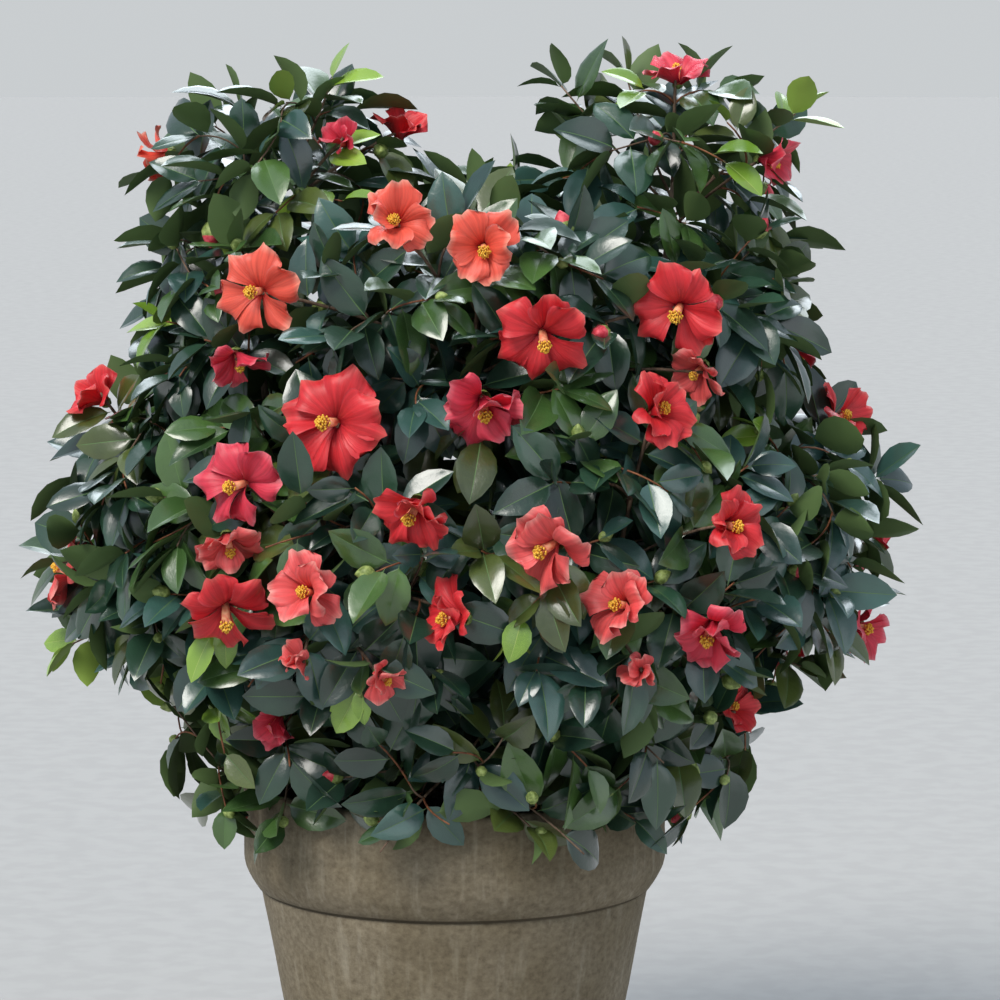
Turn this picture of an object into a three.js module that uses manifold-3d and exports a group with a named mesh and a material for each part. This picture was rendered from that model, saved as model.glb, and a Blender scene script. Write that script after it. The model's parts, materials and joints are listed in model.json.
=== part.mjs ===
// A camellia shrub in bloom, growing in a round clay pot. Millimetres, +Z up.
//
// The origin is the middle of the pot's flat underside. +X is the viewer's right and -Y faces the viewer.
// Four stems rise from the compost, boughs leave them, and each bough carries one mass of leafy shoots.
// The crown has three rings of masses, two tall tops side by side, and one mass that fills the middle.

import * as THREE from 'three';
import { mergeVertices } from 'three/addons/utils/BufferGeometryUtils.js';
import Module from 'manifold-3d';

const wasm = await Module();
wasm.setup();

// Driving dimensions

const CLEAR = 0.3; // gap between solids that touch in the real plant
const UP = new THREE.Vector3(0, 0, 1);

const POT = {
  height: 350,
  rimRadius: 200,
  lipRadius: 3, // rounding of the rim's top edges
  baseRadius: 137,
  bodyTopRadius: 184, // just under the collar
  collarHeight: 100,
  collarBevel: 24, // height of the collar's sloping lower edge
  collarWall: 20,
  wall: 14,
  floor: 18,
  sides: 40,
  drainHoles: 3,
  drainRadius: 9,
  drainRing: 72,
};

const COMPOST = { top: 322, flatRadius: 158, edgeDrop: 6 };

// A ring of masses: `reach` is how far they stand from its middle across and to the front and back, and
// `size` is each one's half width outwards, sideways and upwards.
const RINGS = [
  { tier: 'skirt', count: 6, turn: 30, middle: [8, 0, 402], reach: [190, 180], size: [108, 148, 96] },
  { tier: 'wing', count: 6, turn: 0, middle: [14, 0, 582], reach: [266, 232], size: [126, 188, 160] },
  { tier: 'shoulder', count: 4, turn: 0, middle: [20, 0, 774], reach: [206, 182], size: [104, 204, 136] },
];

// Masses that stand alone, at the head of the crown.
const HEADS = [
  { name: 'top_left', middle: [-162, 0, 900], size: [132, 130, 118] },
  { name: 'top_right', middle: [204, 0, 906], size: [132, 130, 122] },
  { name: 'middle', middle: [22, 0, 814], size: [120, 150, 108] },
];

const SIDES = ['right', 'back_right', 'back', 'back_left', 'left', 'front_left', 'front', 'front_right'];

// Each stem stands at `foot` on the compost and ends inside the mass that it feeds.
const STEMS = [
  { name: 'left', foot: [-126, 8], sway: -34, feeds: 'top_left' },
  { name: 'right', foot: [140, 12], sway: 36, feeds: 'top_right' },
  { name: 'front', foot: [16, -58], sway: 14, feeds: 'middle' },
  { name: 'back', foot: [8, 84], sway: -20, feeds: 'shoulder_back' },
];

const WOOD = {
  flareRadius: 11, // at the cut on the compost
  flareHeight: 34,
  footDepth: 12, // how far below the compost a stem's line starts, before the cut
  stemRadius: 6.6,
  stemTipRadius: 5,
  boughRadius: 4.8,
  boughTipRadius: 4,
  massStemRadius: 4.8,
  massStemTipRadius: 4.2,
  shootRadius: 2.1,
  shootTipRadius: 1.8,
  entry: 0.62, // where a bough ends, as a share of its mass's half width
  entryRise: 0.35, // how much steeper than the straight way it is there
  pastMiddle: 0.14, // how far a mass's own stem runs past the middle, as a share of its length
  boughRise: 0.62, // climb of a bough for each millimetre that it runs outwards
  boughDrop: 40, // how far below its mass's middle a bough that runs nowhere would leave its stem
  leastDrop: 170, // how far below its mass's middle any bough leaves its stem
  lowestBough: 24, // above the compost
};

// Each leaf stands for three or four real ones, so it is larger than life.
const LEAF = {
  length: 98,
  width: 60,
  neck: 0.8, // half the height of its root's edge
  lift: 1.2, // its sides, above its root
  droop: 4, // its tip, below its root
  widest: 0.44, // as a share of its length
  spread: 54, // degrees that it leans from its shoot
  lastSpread: 14,
  sway: 1.1,
};

// `reach` is a share of the mass's half width, `apart` the least distance between two tips, and `leaves`
// how far back from a shoot's tip each leaf stands.
const SHOOTS = {
  perMass: 4,
  lowest: 0.14, // the first one's root, as a share of the mass's stem
  nudges: [0, 0.05, -0.05, 0.1, 0.16], // ways that a root is moved until its shoot fits
  reach: 0.8,
  bow: 0.05, // rise of its middle, as a share of its length
  apart: 62,
  leaves: [2, 13, 25, 38],
};

// The crown is dense, so each mass has a core that its shoots and leaves stand out of. It fills a share
// of the mass's half width outwards, sideways and upwards. The heads stand free, so theirs are rounder.
const CORE = {
  ring: [0.66, 0.9, 0.88],
  head: [0.66, 0.7, 0.68],
  dent: 0.24, // deepest hollow in its surface, as a share of its half width
  waves: 6,
  gap: 8, // from the next mass's core, and above the pot
  limbGap: 1.2,
  leaves: 35, // places for a leaf, all round
  spreads: [54, 74], // degrees that a leaf leans from straight out, the second where the first has no room
  turns: [0, 1.2, -1.2, 2.4, -2.4], // ways that it is turned until it fits, in radians
  outermost: 0, // no leaf stands where the surface faces the crown's middle more than this
  sunk: 5, // how deep a leaf's root is
};

const HEART = new THREE.Vector3(18, 0, 600); // leaves face away from this point
const GOLDEN_ANGLE = Math.PI * (3 - Math.sqrt(5));
const SPACE_REACH = 1.34; // how far a leaf may reach, in half widths of its mass
const SPACE_GAP = 2.4; // between the spaces of two masses
const LIMB_GAP = 4.6; // between a limb and another mass's twig or leaf

// A bloom's outline, in half widths.
const BLOOM = {
  petals: 5,
  back: -0.36, // the back of its cup
  rim: 0.22,
  throat: 0.2, // radius of the hollow round its stamens
  floor: -0.06,
  stamens: 0.34,
  notch: 0.16, // between two petals
  room: 0.6, // half the depth of the space that it keeps
  sunk: 0.1, // where its stalk ends behind its middle, as a share of its size
  offCore: 36, // how far it stands out from the cores, in millimetres
};

// The blooms that face the viewer. x and z are where each stands on the crown's face, `turn` and
// `lift` are degrees that its cup is turned to the right and upwards.
const BLOOMS = [
  { x: 205, z: 1022, size: 58, turn: -25, lift: 62, depth: 10 },
  { x: -50, z: 968, size: 58, turn: 15, lift: 60, depth: 10 },
  { x: -102, z: 962, size: 44, turn: -20, lift: 50, depth: 30 },
  { x: -43, z: 888, size: 74, turn: 30, lift: 0, depth: 0 },
  { x: 26, z: 872, size: 76, turn: -12, lift: 8, depth: 0 },
  { x: -174, z: 824, size: 80, turn: -22, lift: -18, depth: 0 },
  { x: -192, z: 764, size: 58, turn: 4, lift: -32, depth: 0 },
  { x: -336, z: 722, size: 62, turn: -40, lift: 50, depth: 0 },
  { x: -98, z: 716, size: 90, turn: 8, lift: -4, depth: 0 },
  { x: 26, z: 738, size: 84, turn: -6, lift: 0, depth: 0 },
  { x: 78, z: 794, size: 82, turn: -10, lift: -12, depth: 0 },
  { x: 206, z: 814, size: 84, turn: 12, lift: -6, depth: 0 },
  { x: 224, z: 752, size: 58, turn: -8, lift: -32, depth: 0 },
  { x: 181, z: 722, size: 74, turn: 24, lift: 0, depth: 0 },
  { x: 366, z: 706, size: 62, turn: 36, lift: 50, depth: 0 },
  { x: -184, z: 664, size: 80, turn: -14, lift: 6, depth: 0 },
  { x: -200, z: 612, size: 66, turn: -10, lift: -20, depth: 14 },
  { x: -32, z: 652, size: 82, turn: -18, lift: 0, depth: 0 },
  { x: 92, z: 616, size: 84, turn: -8, lift: -10, depth: 0 },
  { x: 240, z: 626, size: 74, turn: 0, lift: 6, depth: 0 },
  { x: -199, z: 550, size: 80, turn: 2, lift: -26, depth: 0 },
  { x: -122, z: 572, size: 74, turn: -6, lift: 2, depth: 0 },
  { x: -130, z: 508, size: 44, turn: -4, lift: 4, depth: 0 },
  { x: 6, z: 552, size: 78, turn: -34, lift: 4, depth: 0 },
  { x: -62, z: 494, size: 52, turn: 10, lift: -30, depth: 0 },
  { x: 156, z: 560, size: 76, turn: 2, lift: 2, depth: 0 },
  { x: 234, z: 535, size: 80, turn: 8, lift: -26, depth: 0 },
  { x: 168, z: 500, size: 44, turn: 0, lift: 4, depth: 0 },
  { x: 264, z: 432, size: 50, turn: 55, lift: -10, depth: 20 },
  { x: -160, z: 438, size: 52, turn: -14, lift: -8, depth: 60 },
];

// Blooms on the sides and back, spread evenly by rule.
const HIDDEN_BLOOMS = { count: 16, lowest: 430, highest: 960, sizes: [58, 84] };

// Leafy tips that stand out of the crown's outline. `front` is towards the viewer.
const TIPS = [
  { x: -274, z: 940, front: 8 },
  { x: -186, z: 960, front: -10 },
  { x: -104, z: 984, front: 12 },
  { x: 94, z: 976, front: 4 },
  { x: 152, z: 984, front: -14 },
  { x: 300, z: 956, front: 6 },
  { x: 424, z: 640, front: 10 },
  { x: -356, z: 560, front: 20 },
  { x: -332, z: 492, front: 30 },
  { x: 376, z: 520, front: 24 },
  { x: -244, z: 336, front: 40 },
  { x: 258, z: 330, front: 36 },
  { x: -64, z: 330, front: 262 },
  { x: 118, z: 328, front: 260 },
];
const TIP_RADIUS = 54; // the space that a tip's leaves may fill

// Helpers

/** A repeatable stream of numbers from 0 to 1: each state is a multiple of the last one. */
function stream(seed) {
  let state = (seed * 7919 + 104729) % 2147483647;
  const next = () => {
    state = (state * 48271) % 2147483647;
    return state / 2147483647;
  };
  next();
  next();
  return next;
}

const vector = (point) => new THREE.Vector3(...point);
const radians = THREE.MathUtils.degToRad;

/** A closed three.js geometry as a manifold solid. */
function solid(geometry) {
  geometry.deleteAttribute('normal');
  geometry.deleteAttribute('uv');
  const merged = mergeVertices(geometry, 1e-4);
  const whole = new wasm.Manifold(
    new wasm.Mesh({
      numProp: 3,
      vertProperties: new Float32Array(merged.attributes.position.array),
      triVerts: new Uint32Array(merged.index.array),
    }),
  );
  return whole.simplify(1e-3); // takes out corners that lie within a flat face
}

/** The largest closed body of a solid as a three.js geometry. */
function geometryOf(body) {
  const largest = body.decompose().reduce((a, b) => (b.volume() > a.volume() ? b : a));
  const mesh = largest.getMesh();
  return new THREE.BufferGeometry()
    .setAttribute('position', new THREE.BufferAttribute(mesh.vertProperties, 3))
    .setIndex(new THREE.BufferAttribute(mesh.triVerts, 1));
}

/** Solids joined into one. */
const fuse = (solids) => solids.reduce((joined, next) => joined.add(next));

/** Moves each vertex of a geometry by a function of its own place. */
function reshape(geometry, move) {
  const place = geometry.attributes.position;
  const point = new THREE.Vector3();
  for (let i = 0; i < place.count; i++) {
    point.fromBufferAttribute(place, i);
    move(point);
    place.setXYZ(i, point.x, point.y, point.z);
  }
  return geometry;
}

/** A direction with two more across it, on the two axes of a limb's section. */
function frameAlong(along, reference) {
  const level = Math.abs(along.x) < 0.7 ? new THREE.Vector3(1, 0, 0) : new THREE.Vector3(0, 1, 0);
  const side = (reference ?? level).clone();
  side.addScaledVector(along, -side.dot(along)).normalize();
  return { along, side, other: new THREE.Vector3().crossVectors(side, along) };
}

/** A tapering limb: a capped cylinder bent along a curve. `radiusAt` takes 0 at the root, 1 at the tip. */
function limb(curve, radiusAt, sides, steps) {
  const whole = frameAlong(curve.getPoint(1).sub(curve.getPoint(0)).normalize());
  return solid(
    reshape(new THREE.CylinderGeometry(1, 1, 1, sides, steps), (point) => {
      const t = point.y + 0.5;
      const frame = frameAlong(curve.getTangent(t), whole.side);
      const reach = radiusAt(t);
      point.copy(
        curve
          .getPoint(t)
          .addScaledVector(frame.side, reach * point.x)
          .addScaledVector(frame.other, reach * point.z),
      );
    }),
  );
}

const taper = (root, tip) => (t) => root + (tip - root) * t;

/** The solid of a stem, bough or mass's stem, grown by a margin all round. */
function tube({ curve, radiusAt, sides, steps }, margin) {
  return limb(curve, (t) => radiusAt(t) + margin, sides, steps);
}

// Masses: where each one is, and what space it keeps to

/** One mass of foliage, turned so that its first half width points outwards. */
function mass(name, middle, size, core, angle) {
  return { name, middle: vector(middle), size, core: vector(core).multiply(vector(size)), angle };
}

function ringMasses(ring) {
  return Array.from({ length: ring.count }, (_, k) => {
    const degrees = ring.turn + (360 / ring.count) * k;
    const angle = radians(degrees);
    const [x, y, z] = ring.middle;
    const [across, deep] = ring.reach;
    const middle = [x + across * Math.cos(angle), y + deep * Math.sin(angle), z];
    const side = SIDES[Math.round(degrees / 45) % SIDES.length];
    return mass(`${ring.tier}_${side}`, middle, ring.size, CORE.ring, angle);
  });
}

const masses = [
  ...RINGS.flatMap(ringMasses),
  ...HEADS.map((head) => mass(head.name, head.middle, head.size, CORE.head, 0)),
];
const massNamed = (name) => masses.find((one) => one.name === name);

/** A point measured in half widths of a mass, or of its core: its length is 1 on the surface. */
function inHalfWidths(point, one, half = vector(one.size)) {
  return point.clone().sub(one.middle).applyAxisAngle(UP, -one.angle).divide(half);
}

/** How far a point lies past the plane that parts two masses, counted from the first. */
function pastBorder(point, one, other) {
  const across = other.middle.clone().sub(one.middle);
  const distance = across.length();
  const mean = (size) => (size[0] + size[1] + size[2]) / 3;
  const border = (distance ** 2 + mean(one.size) ** 2 - mean(other.size) ** 2) / (2 * distance);
  return point.clone().sub(one.middle).dot(across) / distance - border;
}

/** Whether a point is on a mass's own side of every border, by a margin. */
function onOwnSide(point, one) {
  return masses.every((other) => other === one || pastBorder(point, one, other) < -SPACE_GAP / 2);
}

/** Whether a point is clear of the pot and the compost. */
function offThePot(point) {
  const out = Math.hypot(point.x, point.y);
  if (point.z > POT.height + 5) return true;
  if (out > POT.rimRadius + 5) return point.z > 0;
  return out < POT.rimRadius - POT.collarWall - 5 && point.z > COMPOST.top + 5;
}

/** The mass whose surface a point is deepest in, or nearest to. */
function massAt(point) {
  return masses.reduce((best, one) =>
    inHalfWidths(point, one).length() < inHalfWidths(point, best).length() ? one : best,
  );
}

/** Whether a point is within a distance of some mass's core. */
function nearCore(point, distance) {
  return masses.some((one) => inHalfWidths(point, one, one.core.clone().addScalar(distance)).length() < 1);
}

/** Moves a point along a direction until it is at a bloom's distance from the cores. */
function towardsCores(point, direction, steps) {
  for (let i = 0; i < steps && !nearCore(point, BLOOM.offCore); i++) point.addScaledVector(direction, 2);
  return point;
}

// Knots: the blooms and outstanding tips, each with a ball of space of its own

function facing(turn, lift) {
  const level = Math.cos(radians(lift));
  return new THREE.Vector3(
    Math.sin(radians(turn)) * level,
    -Math.cos(radians(turn)) * level,
    Math.sin(radians(lift)),
  );
}

/** A knot fills a ball that is flattened along its face to `depth`, and its shoot ends `sunk` below it. */
function knot(kind, place, face, size, radius, depth, sunk) {
  return { kind, place, face, size, radius, depth, sunk, owner: massAt(place) };
}

/** A bloom's knot, with a little room round its petals. */
function bloomKnot(place, face, size) {
  const half = size / 2;
  return knot('bloom', place, face, size, half + 4, half * BLOOM.room + 3, size * BLOOM.sunk);
}

/** The knots whose space a point is in. */
function knotsAt(point) {
  return knots.filter((each) => {
    const away = point.clone().sub(each.place);
    const ahead = away.dot(each.face);
    const level = away.lengthSq() - ahead ** 2;
    return level / each.radius ** 2 + (ahead / each.depth) ** 2 < 1;
  });
}

function frontBloom(bloom) {
  const inward = new THREE.Vector3(0, 1, 0);
  const place = towardsCores(new THREE.Vector3(bloom.x, -420, bloom.z), inward, 210);
  place.y += bloom.depth;
  return bloomKnot(place, facing(bloom.turn, bloom.lift), bloom.size);
}

/** Blooms round the sides and back: each `k` is a golden angle on, and those in front are left out. */
function hiddenBlooms() {
  const random = stream(77);
  const found = [];
  for (let k = 0; found.length < HIDDEN_BLOOMS.count && k < 200; k++) {
    const angle = k * GOLDEN_ANGLE;
    const outward = new THREE.Vector3(Math.cos(angle), Math.sin(angle), 0);
    const height = HIDDEN_BLOOMS.lowest + (HIDDEN_BLOOMS.highest - HIDDEN_BLOOMS.lowest) * random();
    const size = HIDDEN_BLOOMS.sizes[0] + (HIDDEN_BLOOMS.sizes[1] - HIDDEN_BLOOMS.sizes[0]) * random();
    const lift = -20 + 40 * random();
    if (outward.y < -0.25) continue;
    const outside = outward.clone().multiplyScalar(460).setZ(height);
    const place = towardsCores(outside, outward.clone().negate(), 210);
    if (Math.hypot(place.x, place.y) < 90) continue;
    if (found.some((other) => other.place.distanceTo(place) < 96)) continue;
    const turn = (Math.atan2(outward.x, -outward.y) * 180) / Math.PI;
    found.push(bloomKnot(place, facing(turn, lift), size));
  }
  return found;
}

function outstandingTip(tip) {
  const place = new THREE.Vector3(tip.x, -tip.front, tip.z);
  return knot('tip', place, place.clone().sub(HEART).normalize(), TIP_RADIUS, TIP_RADIUS, TIP_RADIUS, 0);
}

const knots = [...BLOOMS.map(frontBloom), ...hiddenBlooms(), ...TIPS.map(outstandingTip)];

/** Whether a point is in another mass's core, or just outside it. */
function inForeignCore(point, one) {
  return masses.some((other) => other !== one && inHalfWidths(point, other, other.core).length() < 1.06);
}

/** Whether a mass may fill a point: inside its own surface and borders, or in a ball of its own. */
function inSpace(point, one) {
  if (!offThePot(point)) return false;
  const near = knotsAt(point);
  if (near.some((each) => each.owner !== one)) return false;
  if (near.some((each) => each.kind === 'bloom')) return false;
  if (near.length) return !inForeignCore(point, one);
  return inHalfWidths(point, one).length() < SPACE_REACH && onOwnSide(point, one);
}

// Limbs: the stems and boughs

/** Distance from a point to the middle line of a limb, less the limb's radius there. */
function gapToLimb(point, one) {
  const pieces = 10;
  let nearest = Infinity;
  const line = new THREE.Line3(one.curve.getPoint(0), new THREE.Vector3());
  const foot = new THREE.Vector3();
  for (let i = 1; i <= pieces; i++) {
    line.end.copy(one.curve.getPoint(i / pieces));
    line.closestPointToPoint(point, true, foot);
    nearest = Math.min(nearest, foot.distanceTo(point) - one.radiusAt((i - 0.5) / pieces));
    line.start.copy(line.end);
  }
  return nearest;
}

/** A stem's radius: it flares at the foot. */
function stemRadius(length) {
  return (t) => {
    const nearFoot = Math.max(0, 1 - (t * length) / WOOD.flareHeight);
    const flare = (WOOD.flareRadius - WOOD.stemRadius) * nearFoot ** 2;
    return taper(WOOD.stemRadius, WOOD.stemTipRadius)(t) + flare;
  };
}

/** How a limb from `start` enters a mass: its tip, and the rising line that it follows to the middle. */
function entryTo(one, start) {
  const way = one.middle.clone().sub(start).normalize().addScaledVector(UP, WOOD.entryRise).normalize();
  const below = one.middle.clone().sub(way);
  const tip = one.middle.clone().addScaledVector(way, -WOOD.entry / inHalfWidths(below, one).length());
  return { tip, way };
}

function makeStem(stem) {
  const foot = new THREE.Vector3(...stem.foot, COMPOST.top - WOOD.footDepth);
  const target = massNamed(stem.feeds);
  const { tip, way } = entryTo(target, foot);
  const climb = tip.z - foot.z;
  const curve = new THREE.CubicBezierCurve3(
    foot,
    new THREE.Vector3(foot.x + stem.sway, foot.y, foot.z + climb * 0.34),
    tip.clone().addScaledVector(way, -climb * 0.34),
    tip,
  );
  return {
    name: `stem_${stem.name}`,
    curve,
    radiusAt: stemRadius(curve.getLength()),
    sides: 7,
    steps: 8,
    feeds: target,
    from: null,
  };
}

/** How far along a stem its middle line reaches a height. */
function fractionAtHeight(curve, height) {
  let t = 0;
  while (t < 0.94 && curve.getPoint(t).z < height) t += 0.01;
  return t;
}

/** A bough: it leaves the stem that stands nearest, and climbs outwards to its mass. */
function makeBough(one, stems) {
  const level = (point) => Math.hypot(point.x - one.middle.x, point.y - one.middle.y);
  const distance = (stem) => level(stem.curve.getPoint(0.5));
  const stem = stems.reduce((best, next) => (distance(next) < distance(best) ? next : best));
  const drop = Math.max(WOOD.leastDrop, WOOD.boughDrop + WOOD.boughRise * distance(stem));
  const height = Math.max(COMPOST.top + WOOD.lowestBough, one.middle.z - drop);
  const fork = fractionAtHeight(stem.curve, height);
  const start = stem.curve.getPoint(fork);
  const { tip, way } = entryTo(one, start);
  const bend = tip.clone().addScaledVector(way, -0.5 * tip.distanceTo(start));
  return {
    name: `bough_${one.name}`,
    curve: new THREE.QuadraticBezierCurve3(start, bend, tip),
    radiusAt: taper(WOOD.boughRadius, WOOD.boughTipRadius),
    sides: 5,
    steps: 3,
    feeds: one,
    from: stem,
  };
}

const stems = STEMS.map(makeStem);
const fedByStems = new Set(stems.map((stem) => stem.feeds));
const boughs = masses.filter((one) => !fedByStems.has(one)).map((one) => makeBough(one, stems));
const limbs = [...stems, ...boughs];
for (const one of limbs) one.feeds.limb = one;

/** The mass's own stem, which carries on straight from its limb's tip to past the mass's middle. */
function massStem(one) {
  const { curve } = one.limb;
  const start = curve.getPoint(1).addScaledVector(curve.getTangent(1), CLEAR);
  const end = one.middle.clone().lerp(start, -WOOD.pastMiddle);
  return {
    curve: new THREE.LineCurve3(start, end),
    radiusAt: taper(WOOD.massStemRadius, WOOD.massStemTipRadius),
    sides: 3,
    steps: 1,
    feeds: one,
  };
}

for (const one of masses) one.stem = massStem(one);

/** The limbs that a mass's foliage keeps off: all of them, and the other masses' own stems. */
function limbsAround(one) {
  return [...limbs, ...masses.filter((other) => other !== one).map((other) => other.stem)];
}

for (const one of masses) one.around = limbsAround(one);
for (const each of [...limbs, ...masses.map((one) => one.stem)]) each.line = each.curve.getPoints(10);

const offLimbs = (point, one, gap) => one.around.every((each) => gapToLimb(point, each) > gap);

/** A limb's solid: a stem is cut level on the compost, and a bough round the stem that it leaves. */
function limbSolid(one) {
  const body = tube(one, 0);
  if (!one.from) return body.trimByPlane([0, 0, 1], COMPOST.top + CLEAR);
  return body.subtract(tube(one.from, CLEAR));
}

// Foliage: shoots from a mass's own stem, with leaves and blooms fused on

/** A closed solid from its corners and its three-cornered faces, each counter-clockwise from outside. */
function facetted(corners, faces) {
  return new wasm.Manifold(
    new wasm.Mesh({
      numProp: 3,
      vertProperties: new Float32Array(corners.flatMap((corner) => corner.toArray())),
      triVerts: new Uint32Array(faces.flat()),
    }),
  );
}

/** A leaf of six faces: an upright edge sunk in its twig, two sides, a drooping tip and a keel below. */
function leafSolid(leaf) {
  const half = (leaf.length * LEAF.width) / LEAF.length / 2;
  const corner = (x, y, z) =>
    leaf.root
      .clone()
      .addScaledVector(leaf.along, x)
      .addScaledVector(leaf.side, y)
      .addScaledVector(leaf.face, z);
  const widest = LEAF.widest * leaf.length;
  const corners = [
    corner(0, 0, LEAF.neck),
    corner(0, 0, -LEAF.neck),
    corner(widest, half, LEAF.lift),
    corner(widest, -half, LEAF.lift),
    corner(leaf.length, 0, -LEAF.droop),
  ];
  return facetted(corners, [
    [0, 3, 2],
    [4, 2, 3],
    [1, 2, 4],
    [1, 4, 3],
    [0, 2, 1],
    [0, 1, 3],
  ]);
}

/** Points over a leaf's outline, from past its root to its tip. */
function leafPoints(leaf) {
  const half = (LEAF.width / LEAF.length) * leaf.length * 0.5;
  const rows = [0.15, 0.3, LEAF.widest, 0.6, 0.8, 1];
  return rows.flatMap((share) => {
    const spread = share < LEAF.widest ? share / LEAF.widest : (1 - share) / (1 - LEAF.widest);
    return [-1, -0.5, 0, 0.5, 1].map((across) =>
      leaf.root
        .clone()
        .addScaledVector(leaf.along, share * leaf.length)
        .addScaledVector(leaf.side, across * spread * half),
    );
  });
}

/** A leaf with its face turned outwards and up, give or take `sway`. */
function makeLeaf(shoot, root, along, length, sway) {
  const light = root.clone().sub(HEART).normalize().addScaledVector(UP, 0.5).add(sway);
  const face = light.addScaledVector(along, -light.dot(along)).normalize();
  const side = new THREE.Vector3().crossVectors(face, along);
  return { shoot, root, along, face, side, length };
}

/** A leaf that leaves a shoot, `back` from its tip and square to one of its flats but for `turn`. */
function leafOnShoot(shoot, back, flat, turn, spread, length, sway) {
  const [root, joint, tip] = shoot.line;
  const frame = frameAlong(tip.clone().sub(root).normalize());
  const angle = Math.PI / 3 + (flat * 2 * Math.PI) / 3 + turn;
  const away = frame.side.multiplyScalar(Math.sin(angle)).addScaledVector(frame.other, Math.cos(angle));
  const along = frame.along.multiplyScalar(Math.cos(spread)).addScaledVector(away, Math.sin(spread));
  const last = tip.distanceTo(joint);
  const droopy = along.addScaledVector(UP, -0.1).normalize();
  return makeLeaf(shoot, tip.clone().lerp(joint, back / last), droopy, length, sway);
}

/** A leaf as a flat outline: its root, one side, its tip and the other side. */
function leafOutline(leaf) {
  const half = (leaf.length * LEAF.width) / LEAF.length / 2;
  const at = (x, y) => leaf.root.clone().addScaledVector(leaf.along, x).addScaledVector(leaf.side, y);
  const widest = LEAF.widest * leaf.length;
  return [at(3, 0), at(widest, half), at(leaf.length, 0), at(widest, -half)];
}

/** Whether the straight line between two points goes through an outline of four corners. */
function piercedBy(outline, from, to) {
  const run = to.clone().sub(from);
  const length = run.length();
  const ray = new THREE.Ray(from, run.divideScalar(length));
  const hit = new THREE.Vector3();
  return [
    [0, 1, 2],
    [0, 2, 3],
  ].some(
    (face) =>
      ray.intersectTriangle(...face.map((corner) => outline[corner]), false, hit) &&
      hit.distanceTo(from) < length,
  );
}

/** Whether a line of points goes through an outline. */
const crossedBy = (outline, line) =>
  line.slice(1).some((point, index) => piercedBy(outline, line[index], point));

/** Whether a leaf keeps to its space and off limbs, other shoots and the leaves that are there already. */
function leafFits(leaf, one, shoots, leaves) {
  if (!leafPoints(leaf).every((point) => inSpace(point, one) && offLimbs(point, one, LIMB_GAP))) return false;
  const outline = leafOutline(leaf);
  if (shoots.some((shoot) => shoot !== leaf.shoot && crossedBy(outline, shoot.line))) return false;
  if (one.around.some((each) => crossedBy(outline, each.line))) return false;
  const edge = [...outline, outline[0]];
  return !leaves.some(
    (other) =>
      other.root.distanceTo(leaf.root) < 2 * LEAF.length &&
      (crossedBy(outline, other.edge) || crossedBy(other.outline, edge)),
  );
}

/** Keeps a leaf that fits, and says whether it did. */
function keepLeaf(leaf, one, shoots, leaves) {
  if (!leafFits(leaf, one, shoots, leaves)) return false;
  leaf.outline = leafOutline(leaf);
  leaf.edge = [...leaf.outline, leaf.outline[0]];
  leaves.push(leaf);
  return true;
}

const leafLength = (random) => LEAF.length * (0.84 + 0.26 * random());

/** A random push to a leaf's face. */
const faceSway = (random) =>
  new THREE.Vector3(random() - 0.5, random() - 0.5, random() - 0.5).multiplyScalar(LEAF.sway);

/** The leaves of a shoot, on its three flats in turn. One that doesn't fit is moved round, or left out. */
function addShootLeaves(shoot, one, shoots, leaves, random) {
  let flat = Math.floor(random() * 3);
  SHOOTS.leaves.forEach((back, index) => {
    const length = leafLength(random);
    const turn = 0.4 * (random() - 0.5);
    const sway = faceSway(random);
    const last = index === 0;
    if (last && shoot.bloom) return;
    const spread = radians(last ? LEAF.lastSpread : LEAF.spread);
    const tries = [0, 1, 2].map((step) => leafOnShoot(shoot, back, flat + step, turn, spread, length, sway));
    tries.some((leaf) => keepLeaf(leaf, one, shoots, leaves));
    flat++;
  });
}

/** A point just under a core's surface, straight out from its mass's middle. */
function rootInCore(surface, one, heading) {
  const hits = new THREE.Raycaster(one.middle, heading).intersectObject(surface);
  return hits.at(-1).point.clone().addScaledVector(heading, -CORE.sunk);
}

/** The leaves that stand on a mass's core: spread over it evenly, and leaning out and down. */
function addCoreLeaves(core, one, shoots, leaves, random) {
  const surface = new THREE.Mesh(geometryOf(core), new THREE.MeshBasicMaterial({ side: THREE.DoubleSide }));
  for (let k = 0; k < CORE.leaves; k++) {
    const way = directionOnBall(k, CORE.leaves);
    const length = leafLength(random);
    const swing = 2.4 * (random() - 0.5);
    const sway = faceSway(random);
    const heading = way.clone().multiply(one.core).applyAxisAngle(UP, one.angle).normalize();
    const root = rootInCore(surface, one, heading);
    const fromHeart = root.clone().sub(HEART).normalize();
    const outward = way.divide(one.core).applyAxisAngle(UP, one.angle).normalize();
    if (outward.dot(fromHeart) < CORE.outermost) continue;
    outward.multiplyScalar(0.7).add(fromHeart).normalize();
    const down = new THREE.Vector3(0, 0, -1).addScaledVector(outward, outward.z);
    const tries = CORE.spreads.flatMap((spread) =>
      CORE.turns.map((turn) => {
        const lean = down.clone().normalize().applyAxisAngle(outward, swing + turn);
        lean.multiplyScalar(Math.sin(radians(spread))).addScaledVector(outward, Math.cos(radians(spread)));
        return makeLeaf(null, root, lean, length, sway);
      }),
    );
    tries.some((leaf) => keepLeaf(leaf, one, shoots, leaves));
  }
}

/** A shoot of two straight pieces, from the mass's stem to a target, which bends up at its joint. */
function shootTo(stem, fraction, target) {
  const start = stem.getPoint(fraction);
  const run = target.clone().sub(start);
  const joint = start.clone().addScaledVector(run, 0.5).addScaledVector(UP, run.length() * SHOOTS.bow);
  return [start, joint, target];
}

/** A point on a shoot, 0 at its root and 1 at its tip. */
function pointOnShoot(line, t) {
  return t < 0.5 ? line[0].clone().lerp(line[1], 2 * t) : line[1].clone().lerp(line[2], 2 * t - 1);
}

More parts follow.
